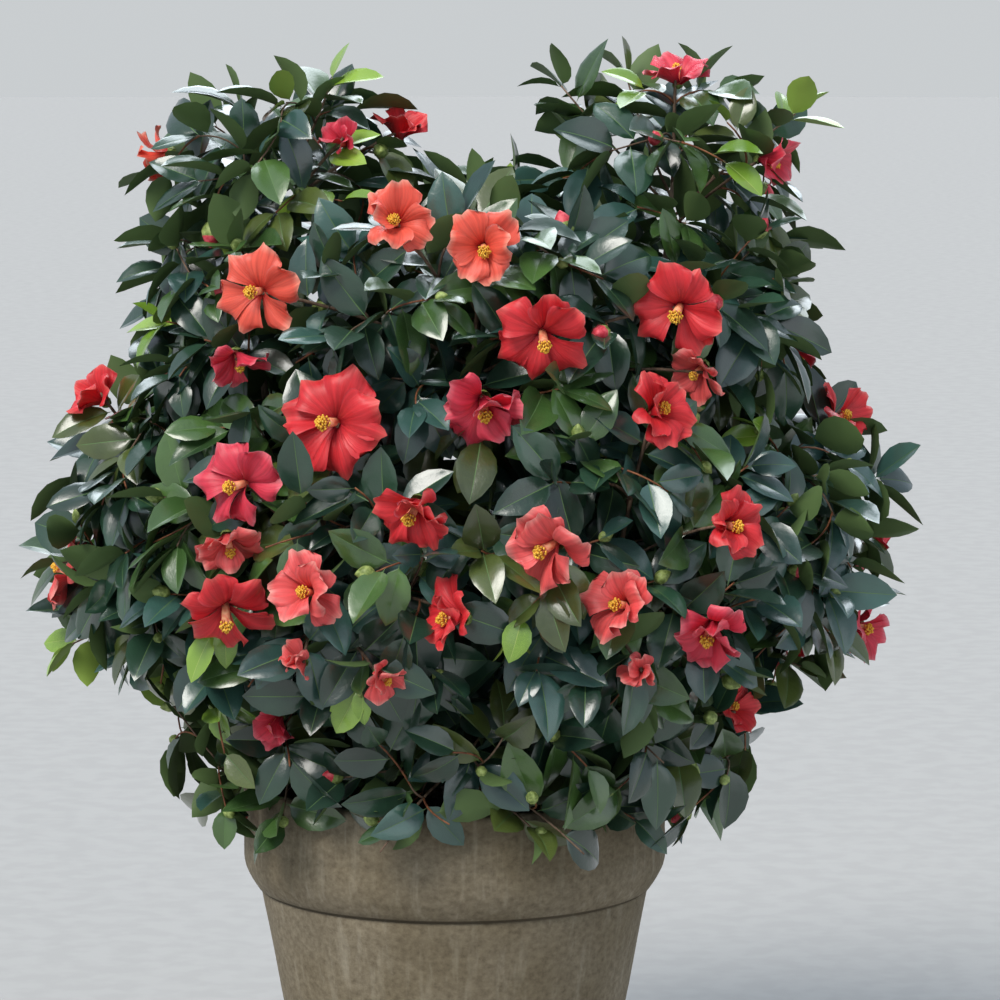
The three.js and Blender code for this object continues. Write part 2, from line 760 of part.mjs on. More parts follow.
/** A shoot's solid has three flats. Its section is square to the line from root to tip. */
function shootSolid(line) {
  const frame = frameAlong(line[2].clone().sub(line[0]).normalize());
  return solid(
    reshape(new THREE.CylinderGeometry(1, 1, 1, 3, 2), (point) => {
      const t = point.y + 0.5;
      const reach = taper(WOOD.shootRadius, WOOD.shootTipRadius)(t);
      point.copy(
        pointOnShoot(line, t)
          .addScaledVector(frame.side, reach * point.x)
          .addScaledVector(frame.other, reach * point.z),
      );
    }),
  );
}

/** Whether a shoot keeps to its mass's space, or to its knot's, and clear of every limb. */
function shootFits(line, one, own) {
  if (!onOwnSide(line[0], one)) return false;
  for (let i = 2; i <= 8; i++) {
    const point = pointOnShoot(line, i / 8);
    const near = knotsAt(point);
    const held = near.some((each) => each.owner === one);
    if (near.some((each) => each.owner !== one)) return false;
    if (near.some((each) => each !== own && each.kind === 'bloom')) return false;
    if (!offThePot(point) || !offLimbs(point, one, LIMB_GAP + WOOD.shootRadius)) return false;
    if (held ? inForeignCore(point, one) : !onOwnSide(point, one)) return false;
  }
  return true;
}

/** Evenly spread directions over a ball. */
function directionOnBall(k, count) {
  const height = 1 - (2 * k + 1) / count;
  const level = Math.sqrt(1 - height * height);
  const angle = k * GOLDEN_ANGLE;
  return new THREE.Vector3(level * Math.cos(angle), level * Math.sin(angle), height);
}

/** The points that a mass's shoots end at: its blooms and tips first, then a ball of even directions. */
function shootTargets(one, random) {
  const targets = knots
    .filter((each) => each.owner === one)
    .map((each) => ({ point: each.place.clone().addScaledVector(each.face, -each.sunk), own: each }));
  for (let k = 0; k < SHOOTS.perMass; k++) {
    const point = directionOnBall(k, SHOOTS.perMass)
      .multiply(vector(one.size))
      .multiplyScalar(SHOOTS.reach * (0.88 + 0.24 * random()))
      .applyAxisAngle(UP, one.angle)
      .add(one.middle);
    const crowded = targets.some((target) => target.point.distanceTo(point) < SHOOTS.apart);
    if (!crowded && inSpace(point, one)) targets.push({ point, own: null });
  }
  return targets;
}

/** The shoots of one mass, spread along its stem in the order of their targets' heights along it. */
function growShoots(one, random) {
  const stem = one.stem.curve;
  const start = stem.getPoint(0);
  const axis = stem.getPoint(1).sub(start);
  const height = (target) => target.point.clone().sub(start).dot(axis);
  const targets = shootTargets(one, random).sort((a, b) => height(a) - height(b));
  const shoots = [];
  targets.forEach(({ point, own }, rank) => {
    const fraction = SHOOTS.lowest + (1 - SHOOTS.lowest) * ((rank + 0.5) / targets.length);
    for (const nudge of SHOOTS.nudges) {
      const line = shootTo(stem, THREE.MathUtils.clamp(fraction + nudge, 0.1, 0.97), point);
      if (!shootFits(line, one, own)) continue;
      shoots.push({ line, bloom: own && own.kind === 'bloom' ? own : null });
      return;
    }
  });
  return shoots;
}

/** A bloom: a shallow cup with a petalled rim, round a pointed column. */
function bloomSolid(bloom) {
  const half = bloom.size / 2;
  const outline = [
    [0, BLOOM.back],
    [1, BLOOM.rim],
    [BLOOM.throat, BLOOM.floor],
    [0, BLOOM.stamens],
  ].map(([out, up]) => new THREE.Vector2(out * half, up * half));
  const cup = reshape(new THREE.LatheGeometry(outline, BLOOM.petals * 2), (point) => {
    const out = Math.hypot(point.x, point.z);
    if (out < half * 0.5) return;
    const petal = 1 - BLOOM.notch + BLOOM.notch * Math.cos(BLOOM.petals * Math.atan2(point.x, point.z));
    point.x *= petal;
    point.z *= petal;
  });
  const turn = new THREE.Quaternion().setFromUnitVectors(new THREE.Vector3(0, 1, 0), bloom.face);
  cup.applyQuaternion(turn);
  cup.translate(bloom.place.x, bloom.place.y, bloom.place.z);
  return solid(cup);
}

/** A mass's core: a dented ball, kept off its neighbours, the pot and every limb. */
function coreSolid(one) {
  const ball = reshape(new THREE.DodecahedronGeometry(1, 0), (point) => {
    const wave = Math.sin(CORE.waves * point.x + one.angle) * Math.cos(CORE.waves * (point.y + point.z));
    point.multiplyScalar(1 - CORE.dent * (0.5 + 0.5 * wave));
    point.multiply(one.core).applyAxisAngle(UP, one.angle).add(one.middle);
  });
  let core = solid(ball).trimByPlane([0, 0, 1], POT.height + CORE.gap);
  masses.forEach((other) => {
    if (other === one) return;
    const back = one.middle.clone().sub(other.middle).normalize();
    const border = back.dot(one.middle) + pastBorder(one.middle, one, other);
    core = core.trimByPlane(back.toArray(), border + CORE.gap / 2);
  });
  return one.around.reduce((body, each) => body.subtract(tube(each, CORE.limbGap)), core);
}

function foliageSolid(one, seed) {
  const random = stream(seed);
  const shoots = growShoots(one, random);
  const core = coreSolid(one);
  const parts = [core, tube(one.stem, 0)];
  const leaves = [];
  shoots.forEach((shoot) => {
    parts.push(shootSolid(shoot.line));
    if (shoot.bloom) parts.push(bloomSolid(shoot.bloom));
    addShootLeaves(shoot, one, shoots, leaves, random);
  });
  addCoreLeaves(core, one, shoots, leaves, random);
  return fuse([...parts, ...leaves.map(leafSolid)]);
}

// Pot and compost

/** A closed turned shape: its outline, as [radius, height] pairs, starts and ends on the axis. */
function turned(outline, sides) {
  const points = outline.map(([out, up]) => new THREE.Vector2(out, up));
  return solid(new THREE.LatheGeometry(points, sides).rotateX(Math.PI / 2));
}

/** The pot's inner radius at a height. */
function innerRadius(height) {
  const slope = (POT.bodyTopRadius - POT.baseRadius) / (POT.height - POT.collarHeight);
  const collarFoot = POT.height - POT.collarHeight;
  if (height <= collarFoot) return POT.baseRadius + slope * height - POT.wall;
  const top = POT.rimRadius - POT.collarWall;
  const foot = innerRadius(collarFoot);
  return foot + ((top - foot) * (height - collarFoot)) / POT.collarHeight;
}

function potSolid() {
  const collarFoot = POT.height - POT.collarHeight;
  const lip = POT.lipRadius;
  const outline = [
    [0, 0],
    [POT.baseRadius - lip, 0],
    [POT.baseRadius, lip],
    [POT.bodyTopRadius, collarFoot],
    [POT.bodyTopRadius + 6, collarFoot + 6],
    [POT.rimRadius - 2, collarFoot + POT.collarBevel],
    [POT.rimRadius, collarFoot + POT.collarBevel + 12],
    [POT.rimRadius, POT.height - lip],
    [POT.rimRadius - lip, POT.height],
    [POT.rimRadius - POT.collarWall + lip, POT.height],
    [POT.rimRadius - POT.collarWall, POT.height - lip],
    [innerRadius(collarFoot), collarFoot],
    [innerRadius(POT.floor), POT.floor],
    [0, POT.floor],
  ];
  const holes = Array.from({ length: POT.drainHoles }, (_, k) => {
    const angle = (2 * Math.PI * k) / POT.drainHoles + Math.PI / 2;
    const drill = new THREE.CylinderGeometry(POT.drainRadius, POT.drainRadius, POT.floor * 2, 12);
    drill.rotateX(Math.PI / 2);
    drill.translate(POT.drainRing * Math.cos(angle), POT.drainRing * Math.sin(angle), POT.floor / 2);
    return solid(drill);
  });
  return holes.reduce((pot, hole) => pot.subtract(hole), turned(outline, POT.sides));
}

function compostSolid() {
  const collarFoot = POT.height - POT.collarHeight;
  const floor = POT.floor + CLEAR;
  const edge = COMPOST.top - COMPOST.edgeDrop;
  return turned(
    [
      [0, floor],
      [innerRadius(floor) - CLEAR, floor],
      [innerRadius(collarFoot) - CLEAR, collarFoot],
      [innerRadius(edge) - CLEAR, edge],
      [COMPOST.flatRadius, COMPOST.top],
      [0, COMPOST.top],
    ],
    POT.sides,
  );
}

// Materials and the assembled plant

const clay = new THREE.MeshStandardMaterial({ color: 0x8b8170, roughness: 0.9, metalness: 0 });
const compost = new THREE.MeshStandardMaterial({ color: 0x3a2d24, roughness: 1, metalness: 0 });
const bark = new THREE.MeshStandardMaterial({ color: 0x7d6b5d, roughness: 0.85, metalness: 0 });
const foliage = new THREE.MeshStandardMaterial({ color: 0x2f4a38, roughness: 0.35, metalness: 0 });

function named(name, body, material) {
  const mesh = new THREE.Mesh(geometryOf(body), material);
  mesh.name = name;
  return mesh;
}

const shrub = new THREE.Group();
shrub.name = 'camellia_shrub';
shrub.add(named('pot', potSolid(), clay));
shrub.add(named('compost', compostSolid(), compost));
limbs.forEach((one) => shrub.add(named(one.name, limbSolid(one), bark)));
masses.forEach((one, index) => {
  shrub.add(named(`foliage_${one.name}`, foliageSolid(one, index + 1), foliage));
});

export default shrub;
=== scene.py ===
"""A camellia shrub in bloom, in its clay pot: the looks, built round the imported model's frame.

Sizes are millimetres in the plant's own frame (origin under the middle of the pot, +Z up, -Y to the
viewer), and become metres where a mesh is made. The crown is grown by the rule that its solids follow,
from the same seeds, and is then carried on to finer twigs, leaves, petals and buds.
"""

from __future__ import annotations

import json
import logging
import math
from dataclasses import dataclass, field
from enum import Enum
from typing import Callable, Iterable, Sequence

import bmesh
import bpy
import numpy as np
from mathutils import Matrix, Vector, noise

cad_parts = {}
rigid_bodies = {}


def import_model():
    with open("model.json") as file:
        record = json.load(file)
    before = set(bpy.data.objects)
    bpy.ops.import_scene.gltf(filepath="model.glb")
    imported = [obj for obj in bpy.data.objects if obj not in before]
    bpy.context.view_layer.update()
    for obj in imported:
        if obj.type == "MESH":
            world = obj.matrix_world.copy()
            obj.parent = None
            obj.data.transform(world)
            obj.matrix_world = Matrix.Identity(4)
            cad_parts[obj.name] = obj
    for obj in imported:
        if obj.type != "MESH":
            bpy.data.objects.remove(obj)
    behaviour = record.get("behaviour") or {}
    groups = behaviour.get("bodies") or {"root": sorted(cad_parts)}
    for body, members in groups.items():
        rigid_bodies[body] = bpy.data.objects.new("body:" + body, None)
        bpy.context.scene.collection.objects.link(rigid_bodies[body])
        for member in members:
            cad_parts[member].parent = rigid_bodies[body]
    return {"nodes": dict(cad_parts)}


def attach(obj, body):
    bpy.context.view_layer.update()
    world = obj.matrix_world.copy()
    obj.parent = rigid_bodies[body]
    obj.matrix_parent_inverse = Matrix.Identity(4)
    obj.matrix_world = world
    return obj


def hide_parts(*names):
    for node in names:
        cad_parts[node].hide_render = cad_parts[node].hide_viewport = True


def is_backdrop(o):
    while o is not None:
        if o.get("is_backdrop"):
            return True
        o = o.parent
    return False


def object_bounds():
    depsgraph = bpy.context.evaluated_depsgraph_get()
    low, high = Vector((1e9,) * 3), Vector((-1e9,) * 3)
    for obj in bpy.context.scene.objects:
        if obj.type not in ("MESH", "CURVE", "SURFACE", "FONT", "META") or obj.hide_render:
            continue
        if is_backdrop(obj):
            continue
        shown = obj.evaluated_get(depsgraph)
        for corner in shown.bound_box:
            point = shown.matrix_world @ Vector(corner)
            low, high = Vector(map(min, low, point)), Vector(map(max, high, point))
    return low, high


LOG = logging.getLogger("camellia")
MM = 0.001
UP = np.array([0.0, 0.0, 1.0])
GOLDEN_ANGLE = math.pi * (3.0 - math.sqrt(5.0))
MOST_TRIANGLES = 170_000  # in one joined piece
ROOM = 20  # how far past the box of the solids twigs and leaves may reach
UNDERSIDE = 2  # the material slot of a leaf's or petal's lower face

Points = np.ndarray
Colour = tuple[float, float, float, float]


# Small helpers: random numbers, vectors and curves


class Stream:
    """A repeatable stream of numbers from 0 to 1: each state is a multiple of the last one."""

    MODULUS = 2147483647

    def __init__(self, seed: int) -> None:
        """Starts the stream.

        Args:
            seed: a whole number, one for each use.
        """
        self.state = (seed * 7919 + 104729) % self.MODULUS
        self.next()
        self.next()

    def next(self) -> float:
        """The next number."""
        self.state = (self.state * 48271) % self.MODULUS
        return self.state / self.MODULUS

    def between(self, low: float, high: float) -> float:
        """The next number, spread from low to high."""
        return low + (high - low) * self.next()

    def pick(self, count: int) -> int:
        """The next whole number from 0 to below count."""
        return min(count - 1, int(self.next() * count))

    def push(self, size: float) -> Points:
        """A random vector within a cube that is `size` wide."""
        return np.array([self.next() - 0.5, self.next() - 0.5, self.next() - 0.5]) * size


def vec(*values: float) -> Points:
    """A vector of its coordinates."""
    return np.array(values, float)


def unit(vector: Points) -> Points:
    """A vector's direction, one long."""
    return vector / max(1e-9, float(np.linalg.norm(vector)))


def turned(points: Points, axis: Points, angle: float) -> Points:
    """Points turned round a unit axis through the origin, by radians of the right-hand rule."""
    along = np.multiply.outer(points @ axis, axis)
    return along + (points - along) * math.cos(angle) + np.cross(axis, points) * math.sin(angle)


def square_to(direction: Points, reference: Points) -> Points:
    """The part of a reference that is square to a direction, one long.

    Args:
        direction: one long.
        reference: any vector.

    Returns:
        The part, or another direction square to the first where there is none.
    """
    across = reference - direction * float(reference @ direction)
    if np.linalg.norm(across) < 1e-4:
        across = np.cross(direction, vec(0.3, 0.9, 0.2))
    return unit(across)


def facing(turn: float, lift: float) -> Points:
    """The way a bloom faces, from degrees to the right of the viewer's direction and upwards."""
    a, b = math.radians(turn), math.radians(lift)
    return vec(math.sin(a) * math.cos(b), -math.cos(a) * math.cos(b), math.sin(b))


def on_ball(index: int, count: int) -> Points:
    """One of a number of directions that are spread evenly over a ball.

    Args:
        index: which one.
        count: how many there are.

    Returns:
        The direction.
    """
    height = 1.0 - (2 * index + 1) / count
    level = math.sqrt(1.0 - height * height)
    angle = index * GOLDEN_ANGLE
    return vec(level * math.cos(angle), level * math.sin(angle), height)


def curve_points(controls: Sequence[Points], steps: Points | float) -> Points:
    """Points along a smooth curve.

    Args:
        controls: its control points.
        steps: places along it, from 0 to 1.

    Returns:
        One point for each step.
    """
    t = np.atleast_1d(np.asarray(steps, float))[:, None]
    levels = [np.repeat(point[None], len(t), 0) for point in controls]
    while len(levels) > 1:
        levels = [a + (b - a) * t for a, b in zip(levels, levels[1:])]
    return levels[0]


def headings(controls: Sequence[Points], steps: Points | float) -> Points:
    """The directions of a smooth curve at places along it, each one long."""
    slopes = curve_points([b - a for a, b in zip(controls, controls[1:])], steps)
    return slopes / np.maximum(1e-9, np.linalg.norm(slopes, axis=1))[:, None]


# Small helpers: nodes and meshes


def linear(code: str) -> Colour:
    """An sRGB hex colour as the linear values that a shader takes.

    Args:
        code: six hex digits.

    Returns:
        The colour, opaque.
    """
    parts = [int(code[i : i + 2], 16) / 255.0 for i in (0, 2, 4)]
    red, green, blue = (c / 12.92 if c <= 0.04045 else ((c + 0.055) / 1.055) ** 2.4 for c in parts)
    return red, green, blue, 1.0


def per_metre(size: float) -> float:
    """The scale of a pattern on Object coordinates whose cells are `size` millimetres."""
    return 1.0 / (size * MM)


def add_node(
    tree: bpy.types.NodeTree,
    kind: str,
    inputs: dict[str | int, object] | None = None,
    stops: Sequence[tuple[float, str]] = (),
    **settings: object,
) -> bpy.types.Node:
    """Adds a shader node with its settings, values and links.

    Args:
        tree: the nodes that it joins.
        kind: the node's type.
        inputs: for each named or numbered input a value, an output, or a node whose first output it takes.
        stops: places and sRGB hex colours, where the node is a colour ramp.
        **settings: the node's own settings.

    Returns:
        The node.
    """
    node = tree.nodes.new(kind)
    for name, value in settings.items():
        setattr(node, name, value)
    for key, value in (inputs or {}).items():
        source = value.outputs[0] if isinstance(value, bpy.types.Node) else value
        if isinstance(source, bpy.types.NodeSocket):
            tree.links.new(source, node.inputs[key])
        else:
            node.inputs[key].default_value = source
    for index, (place, colour) in enumerate(stops):
        elements = node.color_ramp.elements
        element = elements[index] if index < 2 else elements.new(place)
        element.position = place
        element.color = linear(colour)
    return node


@dataclass
class Paint:
    """A material while it is being made: its node tree, its shader and where its patterns lie."""

    name: str
    material: bpy.types.Material = field(init=False)
    tree: bpy.types.NodeTree = field(init=False)
    shader: bpy.types.Node = field(init=False)
    place: bpy.types.NodeSocket = field(init=False)

    def __post_init__(self) -> None:
        """Makes the material with a main shader and Object coordinates."""
        self.material = bpy.data.materials.new(self.name)
        self.material.use_nodes = True
        self.tree = self.material.node_tree
        self.shader = self.tree.nodes["Principled BSDF"]
        self.place = self.add("ShaderNodeTexCoord").outputs["Object"]

    def add(self, kind: str, *inputs: object, **settings: object) -> bpy.types.Node:
        """Adds a node to the material's tree, as add_node does."""
        return add_node(self.tree, kind, *inputs, **settings)

    def finish(
        self, colour: object, bump: bpy.types.Node | None = None, **values: float
    ) -> bpy.types.Material:
        """Sets the shader's colour, its relief and its plain values.

        Args:
            colour: the node or output that gives the colour.
            bump: the node that gives the relief, if there is one.
            **values: the shader's inputs, with underscores for the spaces in their names.

        Returns:
            The material.
        """
        source = colour.outputs[0] if isinstance(colour, bpy.types.Node) else colour
        self.tree.links.new(source, self.shader.inputs["Base Color"])
        if bump is not None:
            self.tree.links.new(bump.outputs[0], self.shader.inputs["Normal"])
        for name, value in values.items():
            self.shader.inputs[name.replace("_", " ")].default_value = value
        return self.material


def placed(data: bpy.types.Mesh, name: str, materials: Iterable[bpy.types.Material]) -> bpy.types.Object:
    """Links a mesh to the scene as an object at the origin, with its materials.

    Args:
        data: the mesh, in metres.
        name: the piece's name.
        materials: its slots.

    Returns:
        The object.
    """
    for material in materials:
        data.materials.append(material)
    piece = bpy.data.objects.new(name, data)
    bpy.context.scene.collection.objects.link(piece)
    return piece


def finished(mesh: bmesh.types.BMesh, name: str, materials: Iterable[bpy.types.Material]) -> bpy.types.Object:
    """Turns a bmesh in millimetres into a smooth object in metres, and frees it.

    Args:
        mesh: the shape.
        name: the piece's name.
        materials: its material slots, in order.

    Returns:
        The object, at the origin.
    """
    bmesh.ops.scale(mesh, vec=(MM, MM, MM), verts=mesh.verts)
    for face in mesh.faces:
        face.smooth = True
    data = bpy.data.meshes.new(name)
    mesh.to_mesh(data)
    mesh.free()
    return placed(data, name, materials)


@dataclass
class Template:
    """A small shape that many copies are made of: its points, faces, material slots and sheet places."""

    points: Points
    corners: np.ndarray
    totals: np.ndarray
    slots: np.ndarray
    places: Points

    @staticmethod
    def of(mesh: bmesh.types.BMesh) -> Template:
        """Reads a template from a bmesh, and frees it.

        Args:
            mesh: the shape. A vector layer named sheet_place on its vertices is kept.

        Returns:
            The template.
        """
        mesh.verts.index_update()
        layer = mesh.verts.layers.float_vector.get("sheet_place")
        made = Template(
            points=np.array([v.co for v in mesh.verts], float),
            corners=np.array([v.index for f in mesh.faces for v in f.verts]),
            totals=np.array([len(f.verts) for f in mesh.faces]),
            slots=np.array([f.material_index for f in mesh.faces]),
            places=np.array([(0, 0, 0) if layer is None else v[layer] for v in mesh.verts], float),
        )
        mesh.free()
        return made

    def triangles(self) -> int:
        """How many triangles it has."""
        return int((self.totals - 2).sum())


@dataclass
class Heap:
    """Copies of templates that are joined into one mesh."""

    points: list[Points] = field(default_factory=list)
    corners: list[np.ndarray] = field(default_factory=list)
    totals: list[np.ndarray] = field(default_factory=list)
    slots: list[np.ndarray] = field(default_factory=list)
    places: list[Points] = field(default_factory=list)
    size: int = 0
    triangles: int = 0

    def add(self, shape: Template, origin: Points, axes: Points, scale: Sequence[float]) -> None:
        """Adds a copy of a template: stretched along its own X, Y and Z, which take the rows of axes."""
        self.add_points(shape, (shape.points * np.asarray(scale)) @ axes + origin)

    def add_points(self, shape: Template, points: Points) -> None:
        """Adds a template's faces on points of their own, with the copy's number as its places' Z.

        Args:
            shape: the template.
            points: the copy's points.
        """
        self.points.append(points)
        self.corners.append(shape.corners + self.size)
        self.totals.append(shape.totals)
        self.slots.append(shape.slots)
        self.places.append(shape.places + vec(0, 0, len(self.points)))
        self.size += len(points)
        self.triangles += shape.triangles()

    def piece(self, name: str, materials: Iterable[bpy.types.Material]) -> bpy.types.Object:
        """Joins the copies into one object at the origin.

        Args:
            name: the piece's name.
            materials: its material slots, in order.

        Returns:
            The object.
        """
        corners = np.concatenate(self.corners)
        totals = np.concatenate(self.totals)
        data = bpy.data.meshes.new(name)
        data.vertices.add(self.size)
        data.loops.add(len(corners))
        data.polygons.add(len(totals))
        data.vertices.foreach_set("co", (np.concatenate(self.points) * MM).astype(np.float32).ravel())
        data.loops.foreach_set("vertex_index", corners.astype(np.int32))
        data.polygons.foreach_set("loop_start", (np.cumsum(totals) - totals).astype(np.int32))
        data.polygons.foreach_set("material_index", np.concatenate(self.slots).astype(np.int32))
        data.polygons.foreach_set("use_smooth", np.ones(len(totals), bool))
        layer = data.attributes.new("sheet_place", "FLOAT_VECTOR", "POINT")
        layer.data.foreach_set("vector", np.concatenate(self.places).astype(np.float32).ravel())
        data.update(calc_edges=True)
        sharpen_rims(data)
        return placed(data, name, materials)


def sharpen_rims(data: bpy.types.Mesh) -> None:
    """Marks the edges between upper and lower faces as sharp, so that a leaf isn't shaded as a pillow.

    Args:
        data: a mesh whose lower faces have the material slot for undersides.
    """
    loops = np.empty(len(data.loops), np.int32)
    data.loops.foreach_get("edge_index", loops)
    totals = np.empty(len(data.polygons), np.int32)
    data.polygons.foreach_get("loop_total", totals)
    slots = np.empty(len(data.polygons), np.int32)
    data.polygons.foreach_get("material_index", slots)
    below = np.repeat(slots == UNDERSIDE, totals)
    upper = np.zeros(len(data.edges), bool)
    lower = np.zeros(len(data.edges), bool)
    upper[loops[~below]] = True
    lower[loops[below]] = True
    sharp = data.attributes.new("sharp_edge", "BOOLEAN", "EDGE")
    sharp.data.foreach_set("value", upper & lower)


# Gives a place on a sheet its point: from 0 at the root to 1 at the tip, and from -1 to 1 across.
SheetPlan = Callable[[float, float, bool], Sequence[float]]


def sheet(rows: int, across: int, below: int, plan: SheetPlan, rib: float = 0.0) -> Template:
    """A thin closed sheet, such as a leaf or petal: an upper and a lower face that meet at its outline.

    Args:
        rows: faces from root to tip.
        across: faces across the upper side.
        below: faces across the lower side.
        plan: gives the point of a place; its third argument is whether the place is on the lower face.
        rib: upper faces nearer the middle than this have the second material slot.

    Returns:
        The template, with its lower face in its own slot.
    """
    whole = bmesh.new()
    layer = whole.verts.layers.float_vector.new("sheet_place")
    for under, columns in ((False, across), (True, below)):
        grid = bmesh.ops.create_grid(whole, x_segments=rows, y_segments=columns, size=1.0)
        faces = list(dict.fromkeys(face for vert in grid["verts"] for face in vert.link_faces))
        for face in faces:
            middle = abs(face.calc_center_median().y)
            face.material_index = UNDERSIDE if under else int(middle < rib)
        if under:
            bmesh.ops.reverse_faces(whole, faces=faces)
        for vert in grid["verts"]:
            share, out = (vert.co.x + 1) / 2, vert.co.y
            vert[layer] = (share, out, 0)
            vert.co = plan(share, out, under)
    bmesh.ops.remove_doubles(whole, verts=whole.verts, dist=2e-4)
    return Template.of(whole)


def unit_tube(sides: int, rings: int) -> Template:
    """A capped tube of radius 1 from z 0 to 1, to be bent along a curve.

    Args:
        sides: its sides.
        rings: its faces along each side.

    Returns:
        The template.
    """
    mesh = bmesh.new()
    bmesh.ops.create_cone(mesh, cap_ends=True, segments=sides, radius1=1, radius2=1, depth=1)
    upright = [edge for edge in mesh.edges if abs(edge.verts[0].co.z - edge.verts[1].co.z) > 0.5]
    bmesh.ops.subdivide_edges(mesh, edges=upright, cuts=rings - 1)
    bmesh.ops.translate(mesh, verts=mesh.verts, vec=(0, 0, 0.5))
    return Template.of(mesh)


def bent(shape: Template, controls: Sequence[Points], radii: Points) -> Points:
    """A unit tube's points, bent along a curve.

    Args:
        shape: the tube.
        controls: the curve's control points.
        radii: the tube's radius at each of its points.

    Returns:
        The points.
    """
    t = np.clip(shape.points[:, 2], 0, 1)
    along = headings(controls, t)
    chord = unit(controls[-1] - controls[0])
    side = square_to(chord, vec(1, 0, 0) if abs(chord[0]) < 0.7 else vec(0, 1, 0))
    across = side - along * (along @ side)[:, None]
    across /= np.linalg.norm(across, axis=1)[:, None]
    other = np.cross(along, across)
    ring = across * shape.points[:, :1] + other * shape.points[:, 1:2]
    return curve_points(controls, t) + ring * radii[:, None]


# Finishes


@dataclass(frozen=True)
class SlipWashedClay:
    """Unglazed clay under a thin grey-brown slip: matt, brushed by hand, with pale salts run down it, and
    painted shade in the crease under the collar.
    """

    ground: str = "8c826e"
    shade: str = "6a604f"
    salts: str = "b1aa98"
    crease_shade: str = "3d352b"  # painted shade: the dark line in the crease under the collar, where the collar's edge shades the body
    brush: float = 5.0  # width of a brush mark
    streak: float = 13.0  # width of a run of salts
    patch: float = 90.0  # width of a worn patch
    grit: float = 1.8  # coarser than real grit, so that it shows
    crease: float = 0.2496  # height of the crease, in metres
    shade_band: float = 0.0019  # how far the painted shade reaches above and below it, in metres

    def material(self) -> bpy.types.Material:
        """The pot's material.

        Returns:
            The material.
        """
        paint = Paint("slip_washed_clay")
        swept = paint.add("ShaderNodeMapping", {"Vector": paint.place, "Scale": (0.8, 0.8, 0.9)})
        inputs = {"Vector": swept, "Scale": per_metre(self.brush), "Detail": 8.0, "Roughness": 0.66}
        marks = paint.add("ShaderNodeTexNoise", inputs)
        hung = paint.add("ShaderNodeMapping", {"Vector": paint.place, "Scale": (1.0, 1.0, 0.1)})
        inputs = {"Vector": hung, "Scale": per_metre(self.streak), "Detail": 4.0, "Roughness": 0.6}
        runs = paint.add("ShaderNodeTexNoise", inputs)
        patches = paint.add("ShaderNodeTexNoise", {"Vector": paint.place, "Scale": per_metre(self.patch)})
        grit = paint.add("ShaderNodeTexNoise", {"Vector": paint.place, "Scale": per_metre(self.grit)})
        stops = ((0.3, self.shade), (0.66, self.ground))
        base = paint.add("ShaderNodeValToRGB", {"Fac": marks}, stops)
        limits = {"Value": runs, "From Min": 0.54, "From Max": 0.78, "To Min": 0.0, "To Max": 0.5}
        salty = paint.add("ShaderNodeMapRange", limits)
        inputs = {0: salty, 6: base, 7: linear(self.salts)}
        salted = paint.add("ShaderNodeMix", inputs, data_type="RGBA")
        stops = ((0.34, "dcd8ce"), (0.66, "ffffff"))
        worn = paint.add("ShaderNodeValToRGB", {"Fac": patches}, stops)
        inputs = {0: 0.8, 6: salted.outputs[2], 7: worn}
        toned = paint.add("ShaderNodeMix", inputs, data_type="RGBA", blend_type="MULTIPLY")
        # painted shade: a dark band along the crease under the collar, broken up by the brush marks, where
        # the collar's lower edge shades the body
        parts = paint.add("ShaderNodeSeparateXYZ", {0: paint.place})
        inputs = {0: parts.outputs["Z"], 1: self.crease, 2: self.shade_band}
        line = paint.add("ShaderNodeMath", inputs, operation="COMPARE")
        shade_band = paint.add("ShaderNodeMath", {0: line, 1: marks}, operation="MULTIPLY")
        inputs = {0: shade_band, 6: toned.outputs[2], 7: linear(self.crease_shade)}
        colour = paint.add("ShaderNodeMix", inputs, data_type="RGBA")
        height = paint.add("ShaderNodeMath", {0: marks, 1: grit}, operation="ADD")
        bump = paint.add("ShaderNodeBump", {"Height": height, "Distance": 0.7 * MM, "Strength": 0.4})
        return paint.finish(colour.outputs[2], bump, Roughness=0.9, Specular_IOR_Level=0.3)


@dataclass(frozen=True)
class DampCompost:
    """Bark compost, damp and loose: nearly black brown crumbs with paler shreds."""

    dark: str = "241a13"
    light: str = "5a4434"
    crumb: float = 5.0

    def material(self) -> bpy.types.Material:
        """The compost's material.

        Returns:
            The material.
        """
        paint = Paint("damp_bark_compost")
        inputs = {"Vector": paint.place, "Scale": per_metre(self.crumb), "Detail": 6.0}
        crumbs = paint.add("ShaderNodeTexNoise", inputs)
        colour = paint.add("ShaderNodeValToRGB", {"Fac": crumbs}, ((0.35, self.dark), (0.72, self.light)))
        bump = paint.add("ShaderNodeBump", {"Height": crumbs, "Distance": 2 * MM, "Strength": 0.7})
        return paint.finish(colour, bump, Roughness=0.95, Specular_IOR_Level=0.25)


